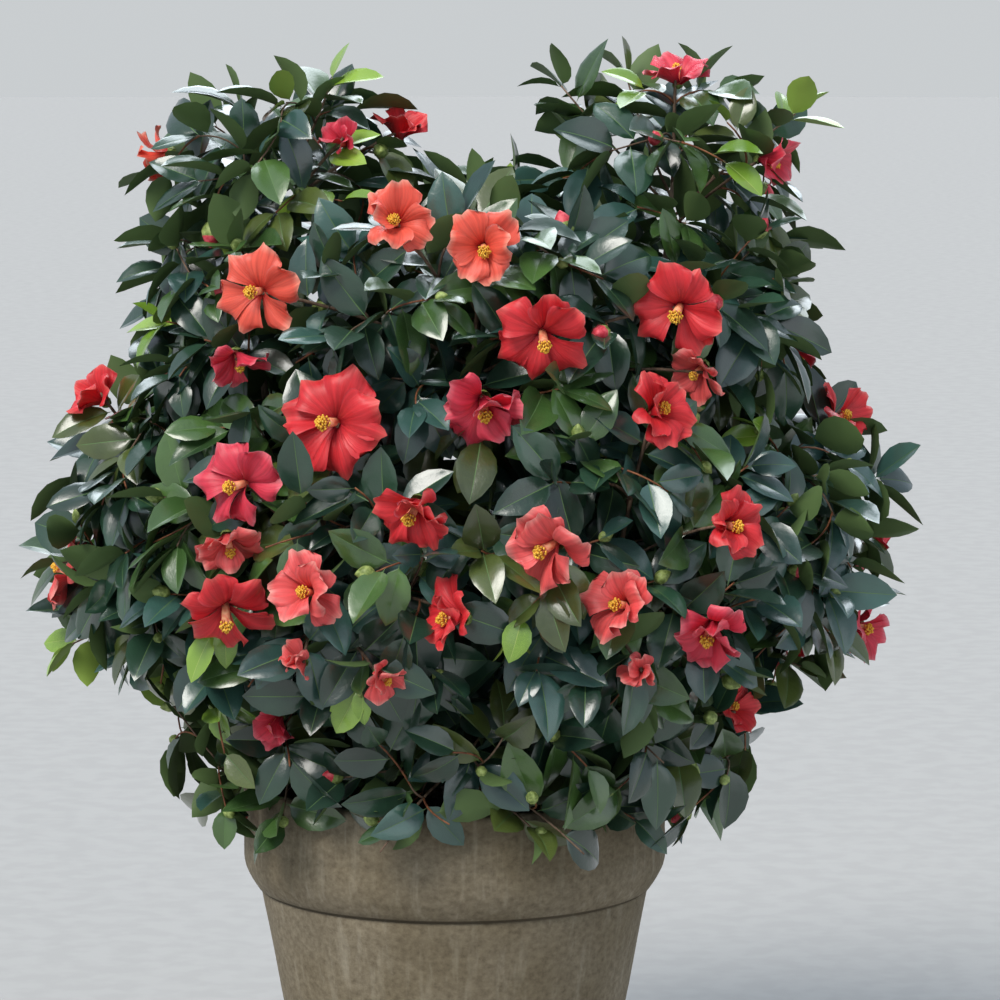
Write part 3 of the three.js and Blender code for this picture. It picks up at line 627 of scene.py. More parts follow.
@dataclass(frozen=True)
class Bark:
    """Camellia bark: thin and smooth, drawn out along the limb, duller and greyer the older it is."""

    name: str
    dark: str
    light: str
    grain: float  # width of a streak
    roughness: float = 0.8

    def material(self) -> bpy.types.Material:
        """The limb's material.

        Returns:
            The material.
        """
        paint = Paint(self.name)
        drawn = paint.add("ShaderNodeMapping", {"Vector": paint.place, "Scale": (1.0, 1.0, 0.3)})
        inputs = {"Vector": drawn, "Scale": per_metre(self.grain), "Detail": 6.0, "Roughness": 0.6}
        streaks = paint.add("ShaderNodeTexNoise", inputs)
        patches = paint.add("ShaderNodeTexNoise", {"Vector": paint.place, "Scale": per_metre(self.grain * 5)})
        both = paint.add("ShaderNodeMath", {0: streaks, 1: patches}, operation="ADD")
        mean = paint.add("ShaderNodeMath", {0: both, 1: 0.5}, operation="MULTIPLY")
        colour = paint.add("ShaderNodeValToRGB", {"Fac": mean}, ((0.38, self.dark), (0.62, self.light)))
        bump = paint.add("ShaderNodeBump", {"Height": streaks, "Distance": 0.5 * MM, "Strength": 0.6})
        return paint.finish(colour, bump, Roughness=self.roughness, Specular_IOR_Level=0.35)


@dataclass(frozen=True)
class WaxyLeaf:
    """A camellia leaf's upper face: leathery, under a clear wax that mirrors the sky softly."""

    name: str
    dark: str
    light: str
    roughness: float = 0.3
    mottle: float = 38.0  # the green changes this slowly, along a spray
    quilt: float = 8.0  # width of the swellings between the side veins
    net: float = 1.6  # the net of fine veins, drawn coarser than the real half millimetre

    def material(self) -> bpy.types.Material:
        """The blade's material: each leaf has a green of its own between the two, by its number.

        Returns:
            The material.
        """
        paint = Paint(self.name)
        place = paint.add("ShaderNodeAttribute", attribute_name="sheet_place")
        parts = paint.add("ShaderNodeSeparateXYZ", {0: place.outputs["Vector"]})
        own = paint.add("ShaderNodeTexWhiteNoise", {"W": parts.outputs["Z"]}, noise_dimensions="1D")
        mottle = paint.add("ShaderNodeTexNoise", {"Vector": paint.place, "Scale": per_metre(self.mottle)})
        inputs = {0: 0.55, 2: mottle.outputs[0], 3: own.outputs["Value"]}
        mixed = paint.add("ShaderNodeMix", inputs, data_type="FLOAT")
        stops = ((0.25, self.dark), (0.75, self.light))
        colour = paint.add("ShaderNodeValToRGB", {"Fac": mixed}, stops)
        quilt = paint.add("ShaderNodeTexNoise", {"Vector": paint.place, "Scale": per_metre(self.quilt)})
        net = paint.add("ShaderNodeTexVoronoi", {"Vector": paint.place, "Scale": per_metre(self.net)})
        inputs = {0: net.outputs["Distance"], 1: 0.14, 2: quilt}
        height = paint.add("ShaderNodeMath", inputs, operation="MULTIPLY_ADD")
        bump = paint.add("ShaderNodeBump", {"Height": height, "Distance": 1.0 * MM, "Strength": 0.4})
        values = {"Specular_IOR_Level": 0.6, "Coat_Weight": 0.8, "Coat_Roughness": 0.19}
        return paint.finish(colour, bump, Roughness=self.roughness, **values)


@dataclass(frozen=True)
class MattLeaf:
    """A leaf's rib or lower face: paler, yellower and without the wax."""

    name: str
    colour: str
    roughness: float = 0.6
    mottle: float = 24.0

    def material(self) -> bpy.types.Material:
        """The material.

        Returns:
            The material.
        """
        paint = Paint(self.name)
        mottle = paint.add("ShaderNodeTexNoise", {"Vector": paint.place, "Scale": per_metre(self.mottle)})
        bright = linear(self.colour)
        dull = tuple(c * 0.75 for c in bright[:3]) + (1.0,)
        colour = paint.add("ShaderNodeMix", {0: mottle, 6: dull, 7: bright}, data_type="RGBA")
        bump = paint.add("ShaderNodeBump", {"Height": mottle, "Distance": 0.5 * MM, "Strength": 0.2})
        return paint.finish(colour.outputs[2], bump, Roughness=self.roughness, Specular_IOR_Level=0.35)


@dataclass(frozen=True)
class SoftPetal:
    """A camellia petal: thin and satiny, deep in the throat, veined lengthwise, and lit from within."""

    name: str
    throat: str
    middle: str
    rim: str
    glow: float = 0.2  # share of the light that goes through the petal's skin

    def material(self) -> bpy.types.Material:
        """The petal's material: its colours and veins follow the petal from its foot to its rim.

        Returns:
            The material.
        """
        paint = Paint(self.name)
        place = paint.add("ShaderNodeAttribute", attribute_name="sheet_place").outputs["Vector"]
        parts = paint.add("ShaderNodeSeparateXYZ", {0: place})
        stops = ((0.04, self.throat), (0.34, self.middle), (0.8, self.middle), (1.0, self.rim))
        colour = paint.add("ShaderNodeValToRGB", {"Fac": parts.outputs["X"]}, stops)
        drawn = paint.add("ShaderNodeMapping", {"Vector": place, "Scale": (0.9, 6.0, 3.7)})
        veins = paint.add("ShaderNodeTexNoise", {"Vector": drawn, "Scale": 1.0, "Detail": 4.0})
        blush = paint.add("ShaderNodeValToRGB", {"Fac": veins}, ((0.3, "c9bcbc"), (0.62, "ffffff")))
        inputs = {0: 0.75, 6: colour, 7: blush}
        shade = paint.add("ShaderNodeMix", inputs, data_type="RGBA", blend_type="MULTIPLY")
        bump = paint.add("ShaderNodeBump", {"Height": veins, "Distance": 1.6 * MM, "Strength": 0.5})
        paint.shader.inputs["Subsurface Radius"].default_value = (0.012, 0.003, 0.003)
        paint.shader.inputs["Sheen Tint"].default_value = linear(self.rim)
        values = {"Subsurface_Weight": self.glow, "Subsurface_Scale": 0.35, "Sheen_Weight": 0.1}
        return paint.finish(shade.outputs[2], bump, Roughness=0.46, Specular_IOR_Level=0.4, **values)


@dataclass(frozen=True)
class PlainSkin:
    """A small smooth part of the flower, such as a filament, an anther or a bud's scale."""

    name: str
    dark: str
    light: str
    roughness: float = 0.5
    patch: float = 4.0

    def material(self) -> bpy.types.Material:
        """The material.

        Returns:
            The material.
        """
        paint = Paint(self.name)
        patches = paint.add("ShaderNodeTexNoise", {"Vector": paint.place, "Scale": per_metre(self.patch)})
        colour = paint.add("ShaderNodeValToRGB", {"Fac": patches}, ((0.35, self.dark), (0.65, self.light)))
        bump = paint.add("ShaderNodeBump", {"Height": patches, "Distance": 0.3 * MM, "Strength": 0.3})
        return paint.finish(colour, bump, Roughness=self.roughness, Specular_IOR_Level=0.4)


@dataclass(frozen=True)
class PaleFloor:
    """A plain matt floor, off-white, with hardly any grain."""

    dark: str = "9d9c9a"
    light: str = "a1a09e"
    grain: float = 40.0

    def material(self) -> bpy.types.Material:
        """The floor's material.

        Returns:
            The material.
        """
        paint = Paint("matt_floor_paint")
        grain = paint.add("ShaderNodeTexNoise", {"Vector": paint.place, "Scale": per_metre(self.grain)})
        colour = paint.add("ShaderNodeValToRGB", {"Fac": grain}, ((0.4, self.dark), (0.6, self.light)))
        return paint.finish(colour, Roughness=0.92, Specular_IOR_Level=0.2)


# The crown's rule: masses, limbs, blooms and tips, as the solids have them


@dataclass
class Mass:
    """One mass of foliage, turned so that its first half width points outwards."""

    name: str
    middle: Points
    size: Points
    core: Points
    angle: float
    limb: Limb | None = None
    stem: Limb | None = None

    def depth(self, points: Points, half: Points | None = None) -> Points:
        """How far out points are, in half widths: 1 is on the surface."""
        inside = turned(points - self.middle, UP, -self.angle) / (self.size if half is None else half)
        return np.linalg.norm(inside, axis=-1)

    def outward(self, way: Points) -> Points:
        """The point of its surface in a direction of its own frame."""
        return turned(way * self.size, UP, self.angle)


@dataclass
class Limb:
    """A stem, a bough or a mass's own stem: a curve with a radius that tapers."""

    name: str
    controls: list[Points]
    radii: Callable[[Points], Points]
    feeds: Mass

    def at(self, t: float) -> Points:
        """The point at a place from 0 to 1."""
        return curve_points(self.controls, t)[0]

    def heading(self, t: float) -> Points:
        """The direction at a place from 0 to 1."""
        return headings(self.controls, t)[0]

    def length(self) -> float:
        """Its length along the curve."""
        line = curve_points(self.controls, np.linspace(0, 1, 201))
        return float(np.linalg.norm(np.diff(line, axis=0), axis=1).sum())

    def pieces(self) -> tuple[Points, Points, Points]:
        """Ten straight pieces along it: their starts, their ends and their radii."""
        line = curve_points(self.controls, np.linspace(0, 1, 11))
        return line[:-1], line[1:], self.radii((np.arange(10) + 0.5) / 10)


class Kind(Enum):
    """What a knot holds."""

    BLOOM = "bloom"
    TIP = "tip"


@dataclass
class Knot:
    """A bloom or an outstanding tip, with a flattened ball of space of its own."""

    kind: Kind
    place: Points
    face: Points
    size: float
    radius: float
    depth: float
    sunk: float
    owner: Mass


class Bloom(Enum):
    """How far a flower is open."""

    OPEN = "open"
    HALF_OPEN = "half open"
    CUP = "cup"


def tapered(root: float, tip: float) -> Callable[[Points], Points]:
    """A radius that changes evenly from root to tip."""
    return lambda t: root + (tip - root) * np.asarray(t)


def gap_to_pieces(points: Points, pieces: tuple[Points, Points, Points]) -> Points:
    """The distance from each point to the nearest of some straight round pieces.

    Args:
        points: one row each.
        pieces: starts, ends and radii.

    Returns:
        One distance each, from the piece's surface.
    """
    starts, ends, radii = pieces
    runs = ends - starts
    away = points[:, None] - starts[None]
    share = np.clip((away * runs).sum(-1) / np.maximum(1e-9, (runs * runs).sum(-1)), 0, 1)
    feet = starts + runs * share[..., None]
    return (np.linalg.norm(points[:, None] - feet, axis=-1) - radii).min(1)


@dataclass
class CrownPlan:
    """The crown by the rule of its solids: where its masses, limbs, blooms and tips are."""

    pot: ClayPot
    compost: Compost
    heart: Points = field(default_factory=lambda: vec(18, 0, 600))
    rings: tuple = (  # as ring_masses takes them
        ("skirt", 6, 30, (8, 0, 402), (190, 180), (108, 148, 96)),
        ("wing", 6, 0, (14, 0, 582), (266, 232), (126, 188, 160)),
        ("shoulder", 4, 0, (20, 0, 774), (206, 182), (104, 204, 136)),
    )
    heads: tuple = (  # name, middle, half widths
        ("top_left", (-162, 0, 900), (132, 130, 118)),
        ("top_right", (204, 0, 906), (132, 130, 122)),
        ("middle", (22, 0, 814), (120, 150, 108)),
    )
    sides: tuple = ("right", "back_right", "back", "back_left", "left", "front_left", "front", "front_right")
    stem_feet: tuple = (  # as make_stem takes them
        ("left", (-126, 8), -34, "top_left"),
        ("right", (140, 12), 36, "top_right"),
        ("front", (16, -58), 14, "middle"),
        ("back", (8, 84), -20, "shoulder_back"),
    )
    ring_core: tuple = (0.66, 0.9, 0.88)  # a core's half widths, as shares of its mass's
    head_core: tuple = (0.66, 0.7, 0.68)  # the same for the heads
    space_gap: float = 2.4  # between the spaces of two masses
    space_reach: float = 1.34  # how far out a mass may fill, in its half widths
    limb_gap: float = 4.6  # least distance between a shoot and a limb
    off_core: float = 36.0  # how far a bloom stands out from the cores
    bloom_room: float = 0.6  # depth of a bloom's space, as a share of its half width
    stem_radii: tuple[float, float] = (6.6, 5.0)
    stem_flare: float = 4.4  # how much thicker a stem is at its foot
    flare_run: float = 34  # and how far up that is gone
    bough_radii: tuple[float, float] = (4.8, 4.0)
    leader_radii: tuple[float, float] = (4.0, 2.2)
    hidden_count: int = 16
    hidden_space: float = 96  # least distance between two blooms at the sides and back
    veil_reach: float = 170  # a leaf hides a bloom when it hangs no further in front of it,
    veil_width: float = 0.33  # and no further from its axis, as a share of its size
    bloom_sunk: float = 0.1  # how far behind a bloom its shoot ends, as a share of its size
    tip_radius: float = 54.0  # of the ball of space at an outstanding tip
    blooms: tuple = (  # x, z, size, turn, lift, depth
        (205, 1022, 58, -25, 62, 10),
        (-50, 968, 58, 15, 60, 10),
        (-102, 962, 44, -20, 50, 30),
        (-43, 888, 74, 30, 0, 0),
        (26, 872, 76, -12, 8, 0),
        (-174, 824, 80, -22, -18, 0),
        (-192, 764, 58, 4, -32, 0),
        (-336, 722, 62, -40, 50, 0),
        (-98, 716, 90, 8, -4, 0),
        (26, 738, 84, -6, 0, 0),
        (78, 794, 82, -10, -12, 0),
        (206, 814, 84, 12, -6, 0),
        (224, 752, 58, -8, -32, 0),
        (181, 722, 74, 24, 0, 0),
        (366, 706, 62, 36, 50, 0),
        (-184, 664, 80, -14, 6, 0),
        (-200, 612, 66, -10, -20, 14),
        (-32, 652, 82, -18, 0, 0),
        (92, 616, 84, -8, -10, 0),
        (240, 626, 74, 0, 6, 0),
        (-199, 550, 80, 2, -26, 0),
        (-122, 572, 74, -6, 2, 0),
        (-130, 508, 44, -4, 4, 0),
        (6, 552, 78, -34, 4, 0),
        (-62, 494, 52, 10, -30, 0),
        (156, 560, 76, 2, 2, 0),
        (234, 535, 80, 8, -26, 0),
        (168, 500, 44, 0, 4, 0),
        (264, 432, 50, 55, -10, 20),
        (-160, 438, 52, -14, -8, 60),
    )
    tips: tuple = (  # x, z, towards the viewer
        (-274, 940, 8),
        (-186, 960, -10),
        (-104, 984, 12),
        (94, 976, 4),
        (152, 984, -14),
        (300, 956, 6),
        (424, 640, 10),
        (-356, 560, 20),
        (-332, 492, 30),
        (376, 520, 24),
        (-244, 336, 40),
        (258, 330, 36),
        (-64, 330, 262),
        (118, 328, 260),
    )
    masses: list[Mass] = field(init=False)
    stems: list[Limb] = field(init=False)
    boughs: list[Limb] = field(init=False)
    knots: list[Knot] = field(init=False)

    def __post_init__(self) -> None:
        """Works the whole plan out."""
        self.masses = [mass for ring in self.rings for mass in self.ring_masses(*ring)]
        for name, middle, size in self.heads:
            core = vec(*size) * vec(*self.head_core)
            self.masses.append(Mass(name, vec(*middle), vec(*size), core, 0.0))
        self.knots = [self.front_bloom(*bloom) for bloom in self.blooms]
        self.knots += self.hidden_blooms()
        self.knots += [self.outstanding_tip(*tip) for tip in self.tips]
        self.stems = [self.make_stem(*stem) for stem in self.stem_feet]
        fed = [stem.feeds for stem in self.stems]
        self.boughs = [self.make_bough(one) for one in self.masses if not any(one is mass for mass in fed)]
        for limb in self.stems + self.boughs:
            limb.feeds.limb = limb
        for one in self.masses:
            one.stem = self.mass_stem(one)

    def ring_masses(
        self, tier: str, count: int, turn: float, middle: tuple, reach: tuple, size: tuple
    ) -> list[Mass]:
        """The masses of one ring, from its sizes.

        Args:
            tier: the ring's name.
            count: how many masses it has.
            turn: degrees from +X to its first one.
            middle: the ring's middle.
            reach: its half widths, across and deep.
            size: each mass's half widths: outwards, along the ring and up.

        Returns:
            The masses.
        """
        made = []
        for k in range(count):
            degrees = turn + 360 / count * k
            angle = math.radians(degrees)
            out, deep = reach[0] * math.cos(angle), reach[1] * math.sin(angle)
            place = vec(middle[0] + out, middle[1] + deep, middle[2])
            side = self.sides[math.floor(degrees / 45 + 0.5) % len(self.sides)]
            made.append(Mass(f"{tier}_{side}", place, vec(*size), vec(*size) * vec(*self.ring_core), angle))
        return made

    def past_border(self, points: Points, one: Mass, other: Mass) -> Points:
        """How far points lie past the plane that parts two masses, counted from the first.

        Args:
            points: one or many.
            one: the first mass.
            other: the second.

        Returns:
            Distances.
        """
        across = other.middle - one.middle
        distance = float(np.linalg.norm(across))
        border = (distance**2 + one.size.mean() ** 2 - other.size.mean() ** 2) / (2 * distance)
        return (points - one.middle) @ across / distance - border

    def on_own_side(self, points: Points, one: Mass) -> Points:
        """Whether points are on a mass's own side of every border.

        Args:
            points: one or many.
            one: the mass.

        Returns:
            True or false for each.
        """
        limit = -self.space_gap / 2
        sides = [self.past_border(points, one, other) < limit for other in self.masses if other is not one]
        return np.logical_and.reduce(sides)

    def off_the_pot(self, points: Points, gap: float = 5.0) -> Points:
        """Whether points are clear of the pot and the compost.

        Args:
            points: one or many.
            gap: the least distance.

        Returns:
            True or false for each.
        """
        out = np.hypot(points[..., 0], points[..., 1])
        height = points[..., 2]
        inside = (out < self.pot.rim_radius - self.pot.collar_wall - gap) & (height > self.compost.top + gap)
        outside = (out > self.pot.rim_radius + gap) & (height > 0)
        return (height > self.pot.height + gap) | outside | inside

    def mass_at(self, point: Points) -> Mass:
        """The mass whose surface a point is deepest in, or nearest to."""
        return min(self.masses, key=lambda one: float(one.depth(point)))

    def towards_cores(self, start: Points, direction: Points) -> Points:
        """The first point, in steps of 2 mm, that is at a bloom's distance from the cores.

        Args:
            start: where to begin.
            direction: one long.

        Returns:
            The point, or the line's end.
        """
        line = start + np.arange(211)[:, None] * direction * 2
        near = np.zeros(211, bool)
        for one in self.masses:
            near |= one.depth(line, one.core + self.off_core) < 1
        return line[int(np.argmax(near))] if near.any() else line[-1]

    def bloom_knot(self, place: Points, face: Points, size: float) -> Knot:
        """A bloom's knot, with a little room round its petals.

        Args:
            place: its middle.
            face: the way it faces.
            size: its width.

        Returns:
            The knot.
        """
        half = size / 2
        depth = half * self.bloom_room + 3
        sunk = size * self.bloom_sunk
        return Knot(Kind.BLOOM, place, face, size, half + 4, depth, sunk, self.mass_at(place))

    def front_bloom(self, x: float, z: float, size: float, turn: float, lift: float, depth: float) -> Knot:
        """A bloom on the face of the crown, from a row of the table."""
        place = self.towards_cores(vec(x, -420, z), vec(0, 1, 0)) + vec(0, depth, 0)
        return self.bloom_knot(place, facing(turn, lift), size)

    def hidden_blooms(self) -> list[Knot]:
        """Blooms round the sides and back, each a golden angle on, with those in front left out.

        Returns:
            Their knots.
        """
        random = Stream(77)
        found: list[Knot] = []
        for k in range(200):
            if len(found) == self.hidden_count:
                break
            angle = k * GOLDEN_ANGLE
            outward = vec(math.cos(angle), math.sin(angle), 0)
            height = 430 + 530 * random.next()
            size = 58 + 26 * random.next()
            lift = -20 + 40 * random.next()
            if outward[1] < -0.25:
                continue
            place = self.towards_cores(outward * 460 + UP * height, -outward)
            if math.hypot(place[0], place[1]) < 90:
                continue
            if any(np.linalg.norm(other.place - place) < self.hidden_space for other in found):
                continue
            turn = math.degrees(math.atan2(outward[0], -outward[1]))
            found.append(self.bloom_knot(place, facing(turn, lift), size))
        return found

    def outstanding_tip(self, x: float, z: float, front: float) -> Knot:
        """A leafy tip that stands out of the crown's outline.

        Args:
            x: how far to the right.
            z: how high.
            front: how far towards the viewer.

        Returns:
            The tip's knot.
        """
        place = vec(x, -front, z)
        radius = self.tip_radius
        return Knot(Kind.TIP, place, unit(place - self.heart), radius, radius, radius, 0, self.mass_at(place))

    def entry_to(self, one: Mass, start: Points) -> tuple[Points, Points]:
        """How a limb enters a mass: its tip, and the rising line that it follows to the middle.

        Args:
            one: the mass.
            start: the limb's root.

        Returns:
            The tip and the line's direction.
        """
        way = unit(unit(one.middle - start) + UP * 0.35)
        tip = one.middle - way * 0.62 / float(one.depth(one.middle - way))
        return tip, way

    def make_stem(self, name: str, foot: tuple, sway: float, feeds: str) -> Limb:
        """A stem from the compost to the mass that it feeds.

        Args:
            name: its name, without stem_.
            foot: its X and Y on the compost.
            sway: how far it leans to the right.
            feeds: the mass's name.

        Returns:
            The stem, with a flare at its foot.
        """
        start = vec(*foot, self.compost.top - 12)
        target = next(one for one in self.masses if one.name == feeds)
        tip, way = self.entry_to(target, start)
        climb = tip[2] - start[2]
        second = start + vec(sway, 0, climb * 0.34)
        slim = tapered(*self.stem_radii)
        limb = Limb(f"stem_{name}", [start, second, tip - way * climb * 0.34, tip], slim, target)
        length = limb.length()
        flare, run = self.stem_flare, self.flare_run
        limb.radii = lambda t: slim(t) + flare * np.maximum(0, 1 - np.asarray(t) * length / run) ** 2
        return limb

    def make_bough(self, one: Mass) -> Limb:
        """A bough: it leaves the stem that stands nearest, and climbs outwards to its mass.

        Args:
            one: the mass that it feeds.

        Returns:
            The bough.
        """
        distances = [math.hypot(*(stem.at(0.5) - one.middle)[:2]) for stem in self.stems]
        distance = min(distances)
        stem = self.stems[distances.index(distance)]
        height = max(self.compost.top + 24, one.middle[2] - max(170, 40 + 0.62 * distance))
        fork = 0.0
        while fork < 0.94 and stem.at(fork)[2] < height:
            fork += 0.01
        start = stem.at(fork)
        tip, way = self.entry_to(one, start)
        bend = tip - way * 0.5 * float(np.linalg.norm(tip - start))
        return Limb(f"bough_{one.name}", [start, bend, tip], tapered(*self.bough_radii), one)

    def mass_stem(self, one: Mass) -> Limb:
        """The mass's own stem, which carries on straight from its limb's tip to past the middle.

        Args:
            one: the mass.

        Returns:
            Its stem.
        """
        start = one.limb.at(1)
        end = one.middle + (one.middle - start) * 0.14
        controls = [start, (start + end) / 2, end]
        return Limb(f"leader_{one.name}", controls, tapered(*self.leader_radii), one)

    def bloom_knots(self) -> list[Knot]:
        """The knots that are blooms."""
        return [knot for knot in self.knots if knot.kind is Kind.BLOOM]

    def limb_pieces(self) -> tuple[Points, Points, Points]:
        """The straight pieces of every limb and mass's stem."""
        every = [limb.pieces() for limb in self.stems + self.boughs + [one.stem for one in self.masses]]
        return tuple(np.concatenate(part) for part in zip(*every))

    def in_knots(self, points: Points, knots: Sequence[Knot], grow: float = 0.0) -> Points:
        """For each point and knot, whether the point is in the knot's space.

        Args:
            points: one row each.
            knots: the knots.
            grow: how much larger their spaces are taken.

        Returns:
            A row for each point, with a column for each knot.
        """
        places = np.array([each.place for each in knots])
        faces = np.array([each.face for each in knots])
        radii = np.array([each.radius for each in knots]) + grow
        depths = np.array([each.depth for each in knots]) + grow
        away = points[:, None] - places[None]
        ahead = (away * faces[None]).sum(-1)
        level = (away * away).sum(-1) - ahead**2
        return level / radii**2 + (ahead / depths) ** 2 < 1

    def before_blooms(self, points: Points) -> Points:
        """Whether points hang close in front of a bloom, where they would hide it.

        Args:
            points: one row each.

        Returns:
            True or false for each.
        """
        hidden = np.zeros(len(points), bool)
        for knot in self.bloom_knots():
            away = points - knot.place
            ways = [knot.face]
            if knot.face[1] < -0.4:
                ways.append(unit(vec(0, -1, 0.12)))
            for way in ways:
                ahead = away @ way
                level = np.linalg.norm(away - ahead[:, None] * way, axis=1)
                near = (ahead > 0) & (ahead < self.veil_reach)
                hidden |= near & (level < knot.size * self.veil_width)
        return hidden

    def fields(self, points: Points, sharp: float = 6.0) -> Points:
        """How far out points are in the crown as a whole, with the seams between masses filled in."""
        depths = np.stack([one.depth(points) for one in self.masses])
        return -np.log(np.exp(-sharp * depths).sum(0)) / sharp


# Twigs: the rule's shoots, and finer ones between them


@dataclass
class Twig:
    """A curved twig: it grows from a mass's stem or from an earlier twig."""

    controls: list[Points]
    mass: Mass
    parent: int
    fork: float
    knot: Knot | None = None
    tier: int = 0
    weight: int = 1
    root_radius: float = 1.2
    tip_radius: float = 0.9

    def at(self, t: Points | float) -> Points:
        """Points at places from 0 to 1."""
        return curve_points(self.controls, t)

    def length(self) -> float:
        """About how long it is."""
        a, b, c = self.controls
        return float(np.linalg.norm(b - a) + np.linalg.norm(c - b) + np.linalg.norm(c - a)) / 2

    def radius(self, t: float) -> float:
        """Its radius at a place from 0 to 1."""
        return self.root_radius + (self.tip_radius - self.root_radius) * t


@dataclass
class Twigwork:
    """Every twig of the crown: it grows them by the rule and makes them pieces."""

    plan: CrownPlan
    limits: tuple[Points, Points]
    per_mass: int = 4
    tip_run: float = 30.0  # the rule's leaves are longer than real ones, so outstanding twigs run on
    shells: tuple = ((0.38, 74.0), (0.6, 60.0), (0.84, 47.0))  # depth in the crown, and space between tips
    twigs: list[Twig] = field(default_factory=list)
    spots: dict[str, list] = field(default_factory=dict)
    random: Stream = field(default_factory=lambda: Stream(501))

    def grow(self) -> None:
        """Grows the rule's shoots and then the finer twigs, from the inside outwards."""
        for index, one in enumerate(self.plan.masses):
            self.spots[one.name] = [
                (one.stem.at(t), one.stem.heading(t), -1, t) for t in np.linspace(0.1, 1, 9)
            ]
            self.grow_shoots(one, Stream(index + 1))
        LOG.info("twigs: %d shoots of the rule", len(self.twigs))
        kept = [twig.controls[2] for twig in self.twigs]
        for tier, (depth, space) in enumerate(self.shells):
            targets = self.shell_targets(depth, space, kept)
            for one, target in targets:
                self.grow_towards(one, target, tier + 1)
            kept += [target for _, target in targets]
            LOG.info("twigs: %d after the shell at %.2f", len(self.twigs), depth)
        self.thicken()

    def shoot_fits(self, line: list[Points], one: Mass, own: Knot | None) -> bool:
        """Whether a shoot keeps to its mass's space, or to its knot's, and clear of every limb.

        Args:
            line: its root, joint and tip.
            one: its mass.
            own: the knot that it ends in, if any.

        Returns:
            True if it fits.
        """
        plan = self.plan
        if not plan.on_own_side(line[0], one):
            return False
        around = plan.stems + plan.boughs + [other.stem for other in plan.masses if other is not one]
        for i in range(2, 9):
            point = self.on_shoot(line, i / 8)
            inside = plan.in_knots(point[None], plan.knots)[0]
            near = [knot for knot, hit in zip(plan.knots, inside) if hit]
            if any(knot.owner is not one for knot in near):
                return False
            if any(knot is not own and knot.kind is Kind.BLOOM for knot in near):
                return False
            if not plan.off_the_pot(point):
                return False
            gaps = [gap_to_pieces(point[None], limb.pieces())[0] for limb in around]
            if min(gaps) <= plan.limb_gap + 2.1:
                return False
            foreign = any(o is not one and o.depth(point, o.core) < 1.06 for o in plan.masses)
            if foreign if near else not plan.on_own_side(point, one):
                return False
        return True

    @staticmethod
    def on_shoot(line: list[Points], t: float) -> Points:
        """A point on a shoot of two straight pieces."""
        root, joint, tip = line
        return root + (joint - root) * 2 * t if t < 0.5 else joint + (tip - joint) * (2 * t - 1)

    def shoot_targets(self, one: Mass, random: Stream) -> list[tuple[Points, Knot | None]]:
        """The points that a mass's shoots end at: its blooms and tips first, then even directions.

        Args:
            one: the mass.
            random: its stream.

        Returns:
            Each point, with its knot if any.
        """
        plan = self.plan
        targets = [(knot.place - knot.face * knot.sunk, knot) for knot in plan.knots if knot.owner is one]
        for k in range(self.per_mass):
            reach = 0.8 * (0.88 + 0.24 * random.next())
            point = one.middle + one.outward(on_ball(k, self.per_mass) * reach)
            crowded = any(np.linalg.norm(target - point) < 62 for target, _ in targets)
            if not crowded and self.in_space(point, one):
                targets.append((point, None))
        return targets

    def in_space(self, point: Points, one: Mass) -> bool:
        """Whether a mass may fill a point.

        Args:
            point: the point.
            one: the mass.

        Returns:
            True if it may.
        """
        plan = self.plan
        if not plan.off_the_pot(point):
            return False
        inside = plan.in_knots(point[None], plan.knots)[0]
        near = [knot for knot, hit in zip(plan.knots, inside) if hit]
        if any(knot.owner is not one or knot.kind is Kind.BLOOM for knot in near):
            return False
        if near:
            return not any(o is not one and o.depth(point, o.core) < 1.06 for o in plan.masses)
        return bool(one.depth(point) < plan.space_reach and plan.on_own_side(point, one))

    def grow_shoots(self, one: Mass, random: Stream) -> None:
        """The rule's shoots of one mass, spread along its stem in the order of their targets' heights.

        Args:
            one: the mass.
            random: its stream.
        """
        start = one.limb.at(1) + one.limb.heading(1) * 0.3
        end = one.middle + (one.middle - start) * 0.14
        axis = end - start
        targets = self.shoot_targets(one, random)
        targets.sort(key=lambda target: float((target[0] - start) @ axis))
        for rank, (point, own) in enumerate(targets):
            fraction = 0.14 + 0.86 * (rank + 0.5) / len(targets)
            for nudge in (0, 0.05, -0.05, 0.1, 0.16):
                share = min(0.97, max(0.1, fraction + nudge))
                root = start + axis * share
                run = point - root
                joint = root + run * 0.5 + UP * float(np.linalg.norm(run)) * 0.05
                if not self.shoot_fits([root, joint, point], one, own):
                    continue
                tip = self.run_on(point, own) if own and own.kind is Kind.TIP else point
                self.keep(Twig([root, 2 * joint - (root + point) / 2, tip], one, -1, share, own))
                break

    def run_on(self, point: Points, own: Knot) -> Points:
        """Where an outstanding twig ends, so that its leaves stay within the limits.

        Args:
            point: the knot's middle.
            own: the knot.

        Returns:
            The twig's end.
        """
        low, high = self.limits
        for run in (self.tip_run, 15.0, 0.0, -15.0):
            reach = point + own.face * (run + 42)
            if ((reach > low) & (reach < high)).all() and (point[2] > 400 or run < 1):
                return point + own.face * run
        return point - own.face * 28

    def keep(self, twig: Twig) -> None:
        """Keeps a twig, and notes the spots on it that others may grow from.

        Args:
            twig: the twig.
        """
        index = len(self.twigs)
        self.twigs.append(twig)
        places = np.linspace(0.2, 0.94, max(2, int(twig.length() / 14)))
        points = twig.at(places)
        ways = headings(twig.controls, places)
        self.spots[twig.mass.name] += [(p, w, index, t) for p, w, t in zip(points, ways, places)]

